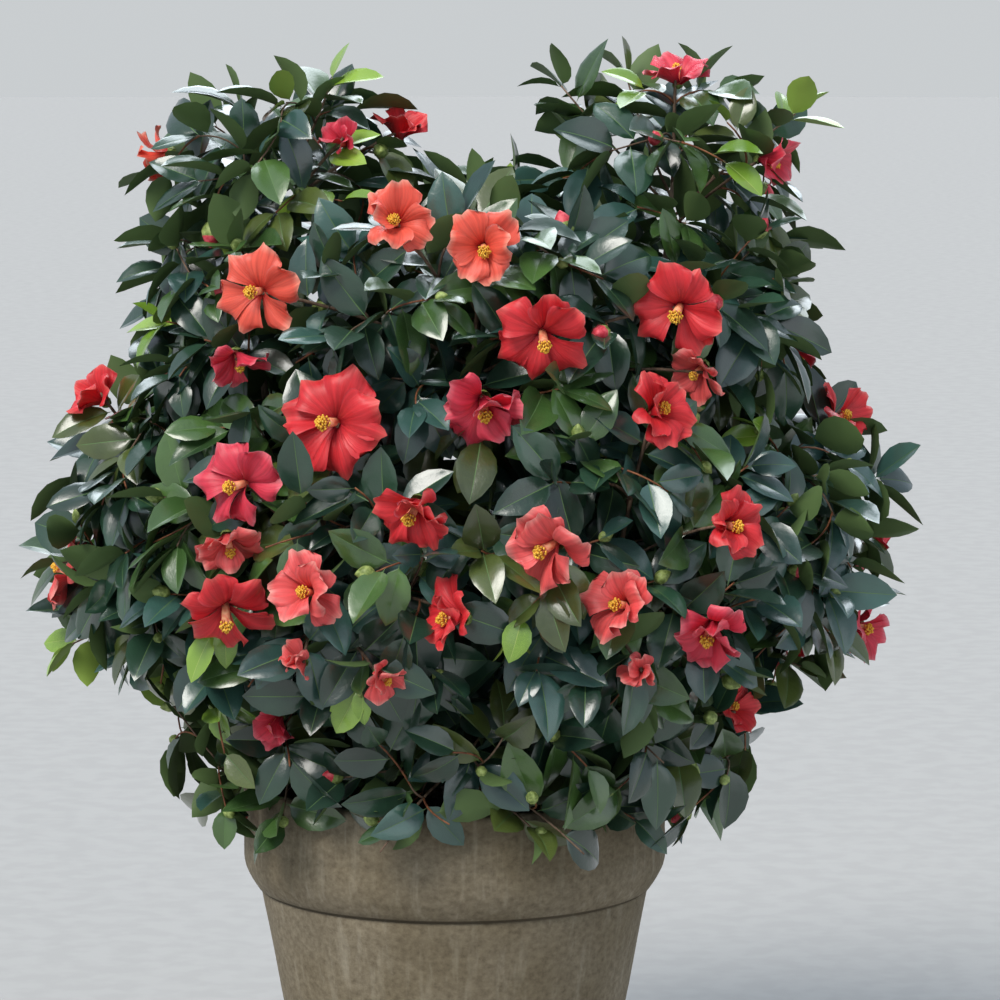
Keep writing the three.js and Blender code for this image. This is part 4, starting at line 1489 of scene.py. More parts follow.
    def shell_targets(self, depth: float, space: float, kept: list[Points]) -> list[tuple[Mass, Points]]:
        """Evenly spread points at one depth in the crown, clear of blooms, of the pot and of each other.

        Args:
            depth: how far out, where 1 is the crown's surface.
            space: the least distance between two, in millimetres.
            kept: points that are there already.

        Returns:
            Each point, with the mass that it belongs to.
        """
        plan = self.plan
        blooms = plan.bloom_knots()
        found: list[tuple[Mass, Points]] = []
        taken = list(kept)
        shares = np.linspace(0.25, 1.45, 97)
        for one in plan.masses:
            a, b, c = one.size * depth
            area = 4 * math.pi * (((a * b) ** 1.6 + (a * c) ** 1.6 + (b * c) ** 1.6) / 3) ** (1 / 1.6)
            count = max(6, int(2.4 * area / space**2))
            for k in range(count):
                way = unit(on_ball(k, count) + self.random.push(0.3))
                line = one.middle + shares[:, None] * one.outward(way)
                inside = np.flatnonzero(plan.fields(line) < depth)
                if not len(inside):
                    continue
                point = line[inside[-1]]
                if not plan.on_own_side(point, one) or not plan.off_the_pot(point, 12):
                    continue
                if plan.in_knots(point[None], blooms, 6.0).any() or plan.before_blooms(point[None])[0]:
                    continue
                near = np.array(taken) - point
                if len(taken) and (near * near).sum(1).min() < (0.86 * space) ** 2:
                    continue
                taken.append(point)
                found.append((one, point))
        return found

    def grow_towards(self, one: Mass, target: Points, tier: int) -> None:
        """Grows a twig to a target from the best spot on the mass's wood, if one is in reach.

        Args:
            one: the mass.
            target: where it ends.
            tier: its shell, from 1.
        """
        spots = self.spots[one.name]
        points = np.array([spot[0] for spot in spots])
        ways = np.array([spot[1] for spot in spots])
        runs = target - points
        distances = np.linalg.norm(runs, axis=1)
        lean = (runs * ways).sum(1) / np.maximum(1e-6, distances)
        cost = distances * (1.6 - 0.6 * lean) + np.where(distances < 20, 1e6, 0)
        blooms = self.plan.bloom_knots()
        for choice in np.argsort(cost)[:6]:
            point, way, parent, fork = spots[choice]
            distance = float(distances[choice])
            leave = unit(way * 0.5 + unit(runs[choice]) * 0.7)
            middle = point + leave * distance * 0.5 + UP * distance * 0.06
            line = curve_points([point, middle, target], np.linspace(0.3, 0.95, 6))
            if self.plan.in_knots(line, blooms).any() or not self.plan.off_the_pot(line, 3).all():
                continue
            self.keep(Twig([point, middle, target], one, int(parent), float(fork), None, tier))
            return

    def thicken(self) -> None:
        """Gives each twig its radius, by how many twigs it carries."""
        for twig in reversed(self.twigs):
            if twig.parent >= 0:
                self.twigs[twig.parent].weight += twig.weight
        for twig in self.twigs:
            wanted = 0.95 + 0.34 * math.sqrt(twig.weight)
            parent = self.twigs[twig.parent] if twig.parent >= 0 else None
            limit = parent.radius(twig.fork) * 0.9 if parent else 3.0
            twig.root_radius = max(1.0, min(wanted, limit))
            carries_bloom = twig.knot is not None and twig.knot.kind is Kind.BLOOM
            twig.tip_radius = min(twig.root_radius, 1.5 if carries_bloom else 0.85)

    def pieces(self) -> list[bpy.types.Object]:
        """The woody twigs and the young ones, as two pieces.

        Returns:
            The two pieces.
        """
        tube = unit_tube(5, 5)
        woody, young = Heap(), Heap()
        for twig in self.twigs:
            t = tube.points[:, 2]
            radii = twig.root_radius + (twig.tip_radius - twig.root_radius) * t
            heap = woody if twig.weight > 1 or twig.tier < 2 else young
            heap.add_points(tube, bent(tube, twig.controls, radii))
        brown = Bark("twig_bark", "4c3a2f", "86705d", 3.0)
        red = Bark("young_twig_bark", "5b3324", "95603f", 3.0, 0.6)
        return [woody.piece("woody_twigs", [brown.material()]), young.piece("young_twigs", [red.material()])]


# Wood: stems, boughs and the masses' own stems


@dataclass
class Woodwork:
    """The stems, the boughs and the leaders inside the masses, with the relief of their bark."""

    plan: CrownPlan
    sides: int = 14
    ring_space: float = 5.0  # between two rings of points
    knuckle: float = 0.12  # swelling at old leaf scars, as a share of the radius
    scar_space: float = 31  # from one scar to the next
    relief: float = 0.07

    def rough(self, limb: Limb, seed: float) -> tuple[Template, Points]:
        """A limb's tube and its points, with its bark's relief and swellings at old leaf scars.

        Args:
            limb: the limb.
            seed: where its pattern starts.

        Returns:
            The tube and its bent points.
        """
        length = limb.length()
        tube = unit_tube(self.sides, max(8, int(length / self.ring_space)))
        points = tube.points
        radii = limb.radii(points[:, 2])
        scars = np.cos(points[:, 2] * length / self.scar_space * 2 * math.pi + seed)
        swell = 1 + self.knuckle * np.maximum(0, scars) ** 6
        grain = [
            noise.noise(Vector((p[0] * 2.2 + seed, p[1] * 2.2, p[2] * length / 22)))
            + 0.5 * noise.noise(Vector((p[0] * 5 + seed, p[1] * 5, p[2] * length / 9)))
            for p in points
        ]
        return tube, bent(tube, limb.controls, radii * (swell + self.relief * np.array(grain)))

    def pieces(self) -> list[tuple[bpy.types.Object, list[str]]]:
        """The pieces, each with the names of the solids that it stands for.

        Returns:
            The stems, the boughs and the leaders.
        """
        grey = Bark("stem_bark", "5d5148", "a09180", 4.0).material()
        made = []
        groups = (("stems", self.plan.stems), ("boughs", self.plan.boughs))
        for name, limbs in groups:
            heap = Heap()
            for index, limb in enumerate(limbs):
                tube, points = self.rough(limb, index * 3.7 + len(name))
                if name == "stems":
                    points[:, 2] = np.maximum(points[:, 2], self.plan.compost.top - 6)
                heap.add_points(tube, points)
            made.append((heap.piece(name, [grey]), [limb.name for limb in limbs]))
        leaders = Heap()
        for index, one in enumerate(self.plan.masses):
            leaders.add_points(*self.rough(one.stem, 50 + index))
        made.append((leaders.piece("leaders", [grey]), []))
        return made


# Leaves


@dataclass(frozen=True)
class LeafShape:
    """A camellia leaf, one long: broadly elliptic with a short point, folded along its rib, on a stalk."""

    stalk: float = 0.09
    half_width: float = 0.262
    rib: float = 0.0075
    thick: float = 0.011
    rows: tuple = (0.0, 0.09, 0.17, 0.31, 0.49, 0.68, 0.86, 1.0)

    def half_at(self, t: float) -> float:
        """Half the blade's width at a place from 0 at its foot to 1 at its tip.

        Args:
            t: the place.

        Returns:
            Half the width.
        """
        if t <= 0 or t >= 1:
            return 0.0
        return self.half_width * math.sin(math.pi * t**0.86) ** 0.7 * (1 - 0.16 * t**4)

    def template(self, fold: float, droop: float, puff: float, twist: float) -> Template:
        """A leaf's template.

        Args:
            fold: how steeply its halves rise from the rib.
            droop: how far its tip bends down.
            puff: how much its halves swell between rib and margin.
            twist: radians that its tip is turned.

        Returns:
            The template, with its rib in the second slot.
        """

        def plan(share: float, across: float, under: bool) -> Sequence[float]:
            """The point of a place on the leaf.

            Args:
                share: from root to tip.
                across: from -1 to 1.
                under: whether it is on the lower face.

            Returns:
                The point.
            """
            s = float(np.interp(share, np.linspace(0, 1, len(self.rows)), self.rows))
            t = (s - self.stalk) / (1 - self.stalk)
            half = 0.0 if s <= 0 or s >= 1 else max(self.half_at(t), 0.009)
            out = abs(across)
            rib = min(self.rib * (1 - 0.6 * max(0.0, t)), half * 0.6)
            if under:
                y = half * out
            else:
                y = rib if out < 0.3 else half * float(np.interp(out, [0.6, 1.0], [0.55, 1.0]))
            share_out = min(1.0, y / half) if half else 1.0
            z = fold * y - droop * s * s
            z += -self.thick * (1 - share_out) if under else puff * half * math.sin(math.pi * share_out)
            side = math.copysign(y, across) if across else 0.0
            turn = twist * s * s
            level = side * math.cos(turn) - z * math.sin(turn) * 0.3
            return s - 0.25 * droop * s**3, level, z + side * math.sin(turn)

        return sheet(len(self.rows) - 1, 5, 2, plan, rib=0.25)


class Spray(Enum):
    """The colour of a spray of leaves, as sRGB hex: its darker and lighter green, and its share."""

    DEEP = ("waxy_leaf_deep", "1a3127", "2c4c39", 0.34)
    COOL = ("waxy_leaf_cool", "25403c", "3b5f56", 0.25)
    GRASS = ("waxy_leaf_grass", "2c4824", "4e6f36", 0.22)
    OLIVE = ("waxy_leaf_olive", "343f1d", "586730", 0.13)
    # young leaves in a bright yellow-green: painted backlight, the light that comes through leaves lit from
    # behind
    YOUNG = ("waxy_leaf_young", "5f8428", "93b643", 0.05)
    BRONZE = ("waxy_leaf_bronze", "4c3324", "7a5a34", 0.01)


@dataclass
class Leafwork:
    """Every leaf of the crown: it deals them out to the twigs, thins them and joins them by colour."""

    plan: CrownPlan
    twigs: list[Twig]
    limits: tuple[Points, Points]
    shape: LeafShape = LeafShape()
    backs: tuple = (1, 4, 8, 14, 21, 30, 40, 51, 63)  # from the twig's tip
    lengths: tuple[float, float] = (54, 73)
    spreads: tuple[float, float] = (28, 70)
    crowding: float = 14.2  # least distance between two leaves' middles
    airy: float = 7.5  # and this much more up in the towers, which begin at tower_foot
    tower_foot: float = 872.0
    lowest: float = 298.0  # the leaves over the rim hang no lower
    skirt_top: float = 428.0  # and below this they stand out no further than skirt_reach
    skirt_reach: float = 284.0
    leafy: float = 0.86  # share of a twig that leaves stand on
    behind_bloom: float = 16  # bare twig behind a bloom
    held_up: float = 830  # height from which leaves droop less
    backlit_top: float = 880  # height from which the young leaves in the yellow-green of painted backlight are commoner, as the light comes from above and behind
    random: Stream = field(default_factory=lambda: Stream(907))

    def templates(self) -> list[Template]:
        """Eight leaves that differ in fold, droop, swelling and twist.

        Returns:
            The templates.
        """
        kinds = (
            (0.32, 0.14, 0.1, 0.2),
            (0.2, 0.24, 0.16, -0.3),
            (0.42, 0.08, 0.06, 0.35),
            (0.14, 0.18, 0.12, 0.0),
            (0.28, 0.32, 0.14, -0.15),
            (0.5, 0.2, 0.05, 0.1),
            (0.1, 0.1, 0.18, -0.45),
            (0.36, 0.02, 0.1, 0.25),
        )
        return [self.shape.template(*kind) for kind in kinds]

    def spray_of(self, twig: Twig) -> Spray:
        """Deals a twig its colour: young leaves, in the yellow-green of painted backlight, are commoner on
        the tops and on outstanding tips.

        Args:
            twig: the twig.

        Returns:
            The colour.
        """
        tip = twig.controls[2]
        # painted backlight: more of the leaves on the tops get the bright yellow-green of light through a
        # leaf
        young = 0.03 + 0.1 * (tip[2] > self.backlit_top)
        if twig.knot is not None and twig.knot.kind is Kind.TIP:
            young += 0.2
        if self.random.next() < young and twig.tier != 1:
            return Spray.YOUNG if self.random.next() < 0.85 else Spray.BRONZE
        chance = self.random.next() * sum(spray.value[3] for spray in Spray if spray is not Spray.BRONZE)
        for spray in (Spray.DEEP, Spray.COOL, Spray.GRASS, Spray.OLIVE):
            chance -= spray.value[3]
            if chance <= 0:
                return spray
        return Spray.DEEP

    def facing_of(self, root: Points, along: Points) -> Points:
        """The way that a leaf's upper side turns: to the light, but each a little differently."""
        out = unit(root - self.plan.heart)
        return square_to(along, out * 0.8 + UP * 0.5 + self.random.push(1.4))

    def deal(self) -> list[tuple]:
        """Every leaf that a twig could carry: root, direction, face, length, width and spray.

        Returns:
            One row for each leaf.
        """
        found = []
        for twig in self.twigs:
            spray = self.spray_of(twig)
            length = twig.length()
            blooming = twig.knot is not None and twig.knot.kind is Kind.BLOOM
            azimuth = self.random.between(0, 2 * math.pi)
            for index, place in enumerate(self.backs):
                back = place + self.random.between(-1, 1.5) + (self.behind_bloom if blooming else 0)
                if back > self.leafy * length:
                    break
                azimuth += GOLDEN_ANGLE + self.random.between(-0.4, 0.4)
                t = min(1.0, 1 - back / length)
                root = twig.at(t)[0]
                axis = headings(twig.controls, t)[0]
                side = turned(square_to(axis, UP), axis, azimuth)
                low, high = self.spreads
                spread = math.radians(min(high, low + 8 * index) + self.random.between(-7, 9))
                along = axis * math.cos(spread) + side * math.sin(spread)
                droop = (-0.25, 0.2) if root[2] > self.held_up else (0.0, 0.42)
                along = unit(along - UP * self.random.between(*droop))
                size = self.random.between(*self.lengths) * (0.76 if index == 0 else 1.0)
                own = spray
                if spray is Spray.YOUNG:
                    size *= 0.8
                    own = Spray.YOUNG if index < 4 else Spray.GRASS
                if spray is Spray.BRONZE:
                    size *= 0.8
                    own = Spray.BRONZE if index < 2 else Spray.OLIVE
                wide = self.random.between(0.92, 1.14)
                found.append((root, along, self.facing_of(root, along), size, wide, own))
        return found

    def kept(self) -> list[tuple]:
        """The leaves that are clear of the pot, the blooms, the limbs and each other.

        Returns:
            Their rows.
        """
        leaves = self.deal()
        roots = np.array([leaf[0] for leaf in leaves])
        ways = np.array([leaf[1] for leaf in leaves])
        sizes = np.array([leaf[3] for leaf in leaves])[:, None]
        blooms = self.plan.bloom_knots()
        pieces = self.plan.limb_pieces()
        low, high = self.limits
        good = np.ones(len(leaves), bool)
        for share in (0.35, 0.6, 0.85, 1.0):
            points = roots + ways * sizes * share - UP * sizes * 0.12 * share**2
            good &= self.plan.off_the_pot(points, 4)
            good &= ~self.plan.in_knots(points, blooms, -4.0).any(1)
            good &= ~self.plan.before_blooms(points)
            good &= ((points > low) & (points < high)).all(1) & (points[:, 2] > self.lowest)
            out = np.hypot(points[:, 0] - self.plan.rings[0][3][0], points[:, 1])
            good &= (points[:, 2] > self.skirt_top) | (out < self.skirt_reach)
            if share < 0.9:
                parts = np.array_split(points, max(1, len(points) // 1000))
                good &= np.concatenate([gap_to_pieces(part, pieces) > 2 for part in parts])
        middles = roots + ways * sizes * 0.5
        cells: dict[tuple, list[int]] = {}
        chosen = []
        for index in np.flatnonzero(good):
            middle = middles[index]
            cell = tuple(int(c // (self.crowding + self.airy)) for c in middle)
            around = [
                other
                for dx in (-1, 0, 1)
                for dy in (-1, 0, 1)
                for dz in (-1, 0, 1)
                for other in cells.get((cell[0] + dx, cell[1] + dy, cell[2] + dz), ())
            ]
            room = self.crowding + (self.airy if middle[2] > self.tower_foot else 0)
            if around and np.linalg.norm(middles[around] - middle, axis=1).min() < room:
                continue
            cells.setdefault(cell, []).append(int(index))
            chosen.append(leaves[index])
        LOG.info("leaves: %d dealt, %d kept", len(leaves), len(chosen))
        return chosen

    def pieces(self) -> list[bpy.types.Object]:
        """The leaves, joined by the colour of their sprays.

        Returns:
            One or more pieces for each colour.
        """
        shapes = self.templates()
        heaps: dict[Spray, list[Heap]] = {spray: [Heap()] for spray in Spray}
        for root, along, face, size, wide, spray in self.kept():
            heap = heaps[spray][-1]
            if heap.triangles > MOST_TRIANGLES:
                heap = Heap()
                heaps[spray].append(heap)
            axes = np.array([along, np.cross(face, along), face])
            heap.add(shapes[self.random.pick(len(shapes))], root, axes, (size, size * wide, size))
        rib = MattLeaf("leaf_rib", "5f7f4e", 0.5).material()
        # paler ribs and undersides for the young leaves in painted backlight
        backlit_rib = MattLeaf("backlit_young_leaf_rib", "a9c068", 0.5).material()
        back = MattLeaf("leaf_underside", "5c7545").material()
        backlit_underside = MattLeaf("backlit_young_leaf_underside", "8fac4c").material()
        made = []
        for spray, parts in heaps.items():
            fresh = spray in (Spray.YOUNG, Spray.BRONZE)
            name, dark, light, _ = spray.value
            blade = WaxyLeaf(name, dark, light).material()
            slots = [blade, backlit_rib if fresh else rib, backlit_underside if fresh else back]
            for number, heap in enumerate(parts):
                if heap.size:
                    made.append(heap.piece(f"leaves_{spray.name.lower()}_{number + 1}", slots))
        return made


# Blooms and buds


@dataclass(frozen=True)
class PetalShape:
    """A petal, one long: drawn in at its claw, broad and lobed at its rim, and bent back as it opens."""

    half_widths: tuple = (0.075, 0.11, 0.185, 0.29, 0.38, 0.415, 0.39, 0.31)  # at even places, foot to rim
    thick: float = 0.018
    crease: float = 0.035  # depth of the fold along its middle

    def template(self, rise: float, fall: float, hollow: float, wave: float, phase: float) -> Template:
        """A petal's template.

        Args:
            rise: degrees that it stands up where it starts.
            fall: degrees that it stands up at its rim, less than nothing where it is bent back.
            hollow: how much its sides rise near its foot.
            wave: how much its rim waves.
            phase: where the waves and lobes start, in radians.

        Returns:
            The template.
        """
        count = 40  # short straight pieces that the petal's bend is summed from
        steps = np.linspace(0, 1, count + 1)
        angles = np.radians(rise + (fall - rise) * steps**1.3)
        xs = np.concatenate([[0], np.cumsum(np.cos(angles[:-1]))]) / count
        zs = np.concatenate([[0], np.cumsum(np.sin(angles[:-1]))]) / count
        rows = np.linspace(0, 1, len(self.half_widths))

        def plan(share: float, across: float, under: bool) -> Sequence[float]:
            """The point of a place on the petal.

            Args:
                share: from foot to rim.
                across: from -1 to 1.
                under: whether it is on the lower face.

            Returns:
                The point.
            """
            lobes = 0.032 * (1 + math.cos(across * 6.3 + phase)) + 0.06 * math.exp(-((across / 0.26) ** 2))
            s = share * (1 - (0.3 * abs(across) ** 2.4 + lobes) * share**3)
            x, z = float(np.interp(s, steps, xs)), float(np.interp(s, steps, zs))
            y = float(np.interp(share, rows, self.half_widths)) * across
            angle = math.radians(rise + (fall - rise) * s**1.3)
            lift = hollow * y * y * 2.4 * (1 - 1.45 * share)
            lift += wave * math.sin(across * 4.6 + phase) * share**2
            lift -= self.crease * math.exp(-((across / 0.2) ** 2)) * math.sin(math.pi * share)
            if under:
                edge = (1 - abs(across) ** 4) * (1 - share**6) * min(1.0, 8 * share)
                lift -= self.thick * edge
            return x - math.sin(angle) * lift, y, z + math.cos(angle) * lift

        return sheet(7, 8, 8, plan)


class PetalColour(Enum):
    """A flower's colours, as sRGB hex: its throat, its petals' middle and their rim."""

    CORAL = ("satin_petal_coral", "bc2a36", "ea5a5a", "f6938a")
    ROSE = ("satin_petal_rose", "a0172e", "dc3a50", "ef6f7c")
    SCARLET = ("satin_petal_scarlet", "9c1424", "da3038", "ea5753")
    # the orange of petals lit through from behind, high on the crown: painted backlight
    ORANGE = ("satin_petal_orange", "bf2c28", "ed5d4b", "f79680")


@dataclass
class Flowerwork:
    """The blooms: petals, stamens and calyx, each kind joined."""

    knots: list[Knot]
    petal: PetalShape = PetalShape()
    sway: float = 0.64  # how far a flower may nod away from its place's direction, as a slope
    cup_width: float = 50  # a narrower flower is a cup,
    half_width: float = 64  # a narrower one is half open,
    full_width: float = 87  # and a wider one has seven petals
    backlit_above: float = 780  # height from which some flowers take the orange of painted backlight
    backlit_share: float = 0.3
    random: Stream = field(default_factory=lambda: Stream(311))

    def petal_templates(self) -> dict[Bloom, list[Template]]:
        """Six petals for each way that a flower is open: rise, fall, hollow, wave and phase.

        Returns:
            The templates.
        """
        plans = {
            Bloom.OPEN: (
                (56, -34, 0.8, 0.09, 0.0),
                (44, -50, 0.6, 0.11, 1.3),
                (74, 26, 1.1, 0.12, 2.6),
                (36, -22, 0.7, 0.12, 3.9),
                (66, -4, 1.0, 0.08, 5.2),
                (50, -62, 0.5, 0.1, 0.7),
            ),
            Bloom.HALF_OPEN: (
                (66, 8, 0.8, 0.07, 0.4),
                (60, -8, 0.7, 0.08, 1.9),
                (72, 28, 0.9, 0.06, 3.1),
                (58, 16, 0.8, 0.09, 4.4),
                (78, 44, 1.0, 0.05, 5.5),
                (64, -2, 0.7, 0.08, 2.4),
            ),
            Bloom.CUP: (
                (80, 56, 1.1, 0.05, 0.2),
                (76, 42, 1.0, 0.06, 1.5),
                (84, 66, 1.2, 0.05, 2.8),
                (82, 60, 1.1, 0.05, 4.1),
                (88, 80, 1.2, 0.04, 5.4),
                (78, 50, 1.0, 0.06, 0.9),
            ),
        }
        return {kind: [self.petal.template(*plan) for plan in rows] for kind, rows in plans.items()}

    def stamens(self) -> Template:
        """A tuft of stamens, one flower radius long: a sleeve of joined filaments, free ones, and anthers.

        Returns:
            The template, with its anthers in the second slot.
        """
        mesh = bmesh.new()
        sleeve = Matrix.Translation((0, 0, 0.24))
        bmesh.ops.create_cone(
            mesh, cap_ends=True, segments=12, radius1=0.085, radius2=0.11, depth=0.48, matrix=sleeve
        )
        count = 40
        for k in range(count):
            angle = k * GOLDEN_ANGLE
            ring = math.sqrt((k + 0.5) / count)
            outward = Vector((math.cos(angle), math.sin(angle), 0))
            foot = outward * 0.1 * ring + Vector((0, 0, 0.44))
            top = outward * 0.16 * ring + Vector((0, 0, 0.64 + 0.1 * self.random.next() - 0.15 * ring**2))
            run = top - foot
            turn = Vector((0, 0, 1)).rotation_difference(run).to_matrix().to_4x4()
            middle = Matrix.Translation((foot + top) / 2) @ turn
            bmesh.ops.create_cone(
                mesh, cap_ends=False, segments=3, radius1=0.016, radius2=0.013, depth=run.length,
                matrix=middle,
            )
            end = Matrix.Translation(top) @ turn @ Matrix.Diagonal((0.033, 0.024, 0.05, 1))
            anther = bmesh.ops.create_icosphere(mesh, subdivisions=1, radius=1.0, matrix=end)
            for face in {face for vert in anther["verts"] for face in vert.link_faces}:
                face.material_index = 1
        return Template.of(mesh)

    def sepal(self) -> Template:
        """A scale of the calyx, one long: short, round and hollow.

        Returns:
            The template.
        """

        def plan(share: float, across: float, under: bool) -> Sequence[float]:
            """The point of a place on the scale.

            Args:
                share: from foot to rim.
                across: from -1 to 1.
                under: whether it is on the lower face.

            Returns:
                The point.
            """
            y = 0.62 * math.sqrt(max(0.0, 1 - (2 * share - 1) ** 2)) * across
            lift = 0.5 * y * y
            if under:
                lift -= 0.07 * (1 - across**4) * math.sin(math.pi * share)
            angle = math.radians(20 + 60 * share)
            x = 0.85 * math.sin(share * 1.3) - math.sin(angle) * lift
            return x, y, 0.9 * share**1.4 + lift * 0.5

        return sheet(4, 4, 2, plan)

    def style(self, knot: Knot) -> Bloom:
        """How far a bloom is open, by its size.

        Args:
            knot: the bloom.

        Returns:
            How far it is open.
        """
        if knot.size < self.cup_width:
            return Bloom.CUP
        return Bloom.HALF_OPEN if knot.size < self.half_width else Bloom.OPEN

    def add_petals(self, heap: Heap, knot: Knot, base: Points, face: Points, shapes: list[Template]) -> None:
        """Adds one flower's petals, each over one neighbour and under the other.

        Args:
            heap: where they are joined.
            knot: the bloom.
            base: where its petals start.
            face: the way that the flower nods.
            shapes: the templates of the way that it is open.
        """
        level = square_to(face, UP)
        half = knot.size / 2
        count = 5 + (knot.size > self.half_width) + (knot.size > self.full_width)
        start = self.random.between(0, 2 * math.pi)
        longer = 1.0 if self.style(knot) is Bloom.OPEN else 1.1
        order = self.random.pick(len(shapes))
        for k in range(count):
            azimuth = start + 2 * math.pi * k / count + self.random.between(-0.27, 0.27)
            radial = turned(level, face, azimuth)
            tip = unit(radial + face * (self.random.between(-0.2, 0.1) + 0.14 * (k % 2)))
            rise = turned(square_to(tip, face), tip, 0.26 + self.random.between(-0.26, 0.26))
            axes = np.array([tip, np.cross(rise, tip), rise])
            length = half * longer * self.random.between(1.05, 1.26)
            wide = length * self.random.between(0.93, 1.13)
            foot = base + radial * half * 0.06 + face * (1.4 if k % 2 else 0.0)
            heap.add(shapes[(order + k * (1 + k % 2)) % len(shapes)], foot, axes, (length, wide, length))

    def pieces(self) -> list[bpy.types.Object]:
        """Petals by colour, stamens and calyces.

        Returns:
            The pieces.
        """
        petals = self.petal_templates()
        tuft = self.stamens()
        sepal = self.sepal()
        heaps = {colour: Heap() for colour in PetalColour}
        tufts, calyces = Heap(), Heap()
        colours = list(PetalColour)
        for number, knot in enumerate(self.knots):
            style = self.style(knot)
            # painted backlight: some flowers high on the crown are orange, like petals that the light shines
            # through from behind
            high = knot.place[2] > self.backlit_above
            choice = (number * 5 + self.random.pick(2)) % 3
            backlit = high and self.random.next() < self.backlit_share
            colour = PetalColour.ORANGE if backlit else colours[choice]
            nod = square_to(knot.face, self.random.push(2) - UP * 0.4)
            face = unit(knot.face + nod * self.random.between(0.1, self.sway))
            half = knot.size / 2
            base = knot.place - knot.face * knot.size * (0.16 if style is Bloom.OPEN else 0.3)
            self.add_petals(heaps[colour], knot, base, face, petals[style])
            level = square_to(face, UP)
            if style is not Bloom.CUP:
                axis = unit(face + nod * 0.2 - UP * 0.12)
                side = square_to(axis, UP)
                axes = np.array([side, np.cross(axis, side), axis])
                tufts.add(tuft, base, axes, (half * 0.95,) * 3)
            for k in range(5):
                radial = turned(level, face, k * 2 * math.pi / 5)
                axes = np.array([radial, np.cross(face, radial), face])
                calyces.add(sepal, base - face * half * 0.16, axes, (half * 0.24,) * 3)
        made = []
        for colour, heap in heaps.items():
            name, throat, middle, rim = colour.value
            front = SoftPetal(name, throat, middle, rim).material()
            back = SoftPetal(f"{name}_back", throat, middle, rim, 0.14).material()
            made.append(heap.piece(f"petals_{colour.name.lower()}", [front, front, back]))
        filament = PlainSkin("stamen_filament", "e8795c", "f4b184").material()
        pollen = PlainSkin("anther_pollen", "dc9a24", "f7cf55", 0.8, 2.0).material()
        scale = PlainSkin("calyx_scale", "5c6a34", "8a9a55").material()
        made.append(tufts.piece("stamens", [filament, pollen]))
        made.append(calyces.piece("calyces", [scale, scale, scale]))
        return made


@dataclass
class Budwork:
    """The flower buds at the ends of twigs: egg-shaped, scaled and green, some showing colour."""

    plan: CrownPlan
    twigs: list[Twig]
    coloured: tuple = (  # x and z on the crown's face
        (-233, 871),
        (-219, 847),
        (263, 859),
        (247, 835),
        (177, 948),
        (127, 787),
        (-121, 365),
        (-202, 334),
        (230, 324),
    )
    share: float = 0.34
    random: Stream = field(default_factory=lambda: Stream(613))

    def template(self, bare: float) -> Template:
        """A bud, one long: an egg with a point, stepped where its scales lap.

        Args:
            bare: from this height up the petals show, in the second material slot.

        Returns:
            The template.
        """
        mesh = bmesh.new()
        bmesh.ops.create_uvsphere(mesh, u_segments=9, v_segments=9, radius=0.5)
        for face in mesh.faces:
            face.material_index = int(face.calc_center_median().z + 0.5 > bare)
        for vert in mesh.verts:
            height = vert.co.z + 0.5
            out = math.hypot(vert.co.x, vert.co.y)
            egg = 0.36 * math.sin(math.pi * height**0.8) ** 0.8 if 0 < height < 1 else 0.0
            lap = 1 + 0.09 * ((height * 3.2 + math.atan2(vert.co.y, vert.co.x) / math.pi) % 1.0)
            if out > 1e-6:
                vert.co.x *= egg * lap / out
                vert.co.y *= egg * lap / out
            vert.co.z = height
        return Template.of(mesh)

    def pieces(self) -> list[bpy.types.Object]:
        """The green buds and the coloured ones.

        Returns:
            The two pieces.
        """
        closed, showing = self.template(2.0), self.template(0.5)
        green, pink = Heap(), Heap()
        free = [twig for twig in self.twigs if twig.knot is None and twig.tier != 1]
        tips = np.array([twig.controls[2] for twig in free])
        chosen = set()
        for x, z in self.coloured:
            away = np.hypot(tips[:, 0] - x, tips[:, 2] - z) + np.maximum(0, tips[:, 1] + 60) * 2
            chosen.add(int(np.argmin(away)))
        for index, twig in enumerate(free):
            lucky = self.random.next() < self.share
            shows = index in chosen or (lucky and self.random.next() < 0.1)
            if not lucky and not shows:
                continue
            axis = unit(headings(twig.controls, 1.0)[0] + UP * 0.25 + self.random.push(0.3))
            level = square_to(axis, UP)
            axes = np.array([level, np.cross(axis, level), axis])
            size = self.random.between(20, 27) if shows else self.random.between(13, 20)
            (pink if shows else green).add(showing if shows else closed, twig.controls[2], axes, (size,) * 3)
        scale = PlainSkin("bud_scale", "66783a", "a3b56a").material()
        petal = PlainSkin("bud_petal", "c4283c", "e4606a").material()
        return [green.piece("green_buds", [scale]), pink.piece("coloured_buds", [scale, petal])]


# Pot and compost


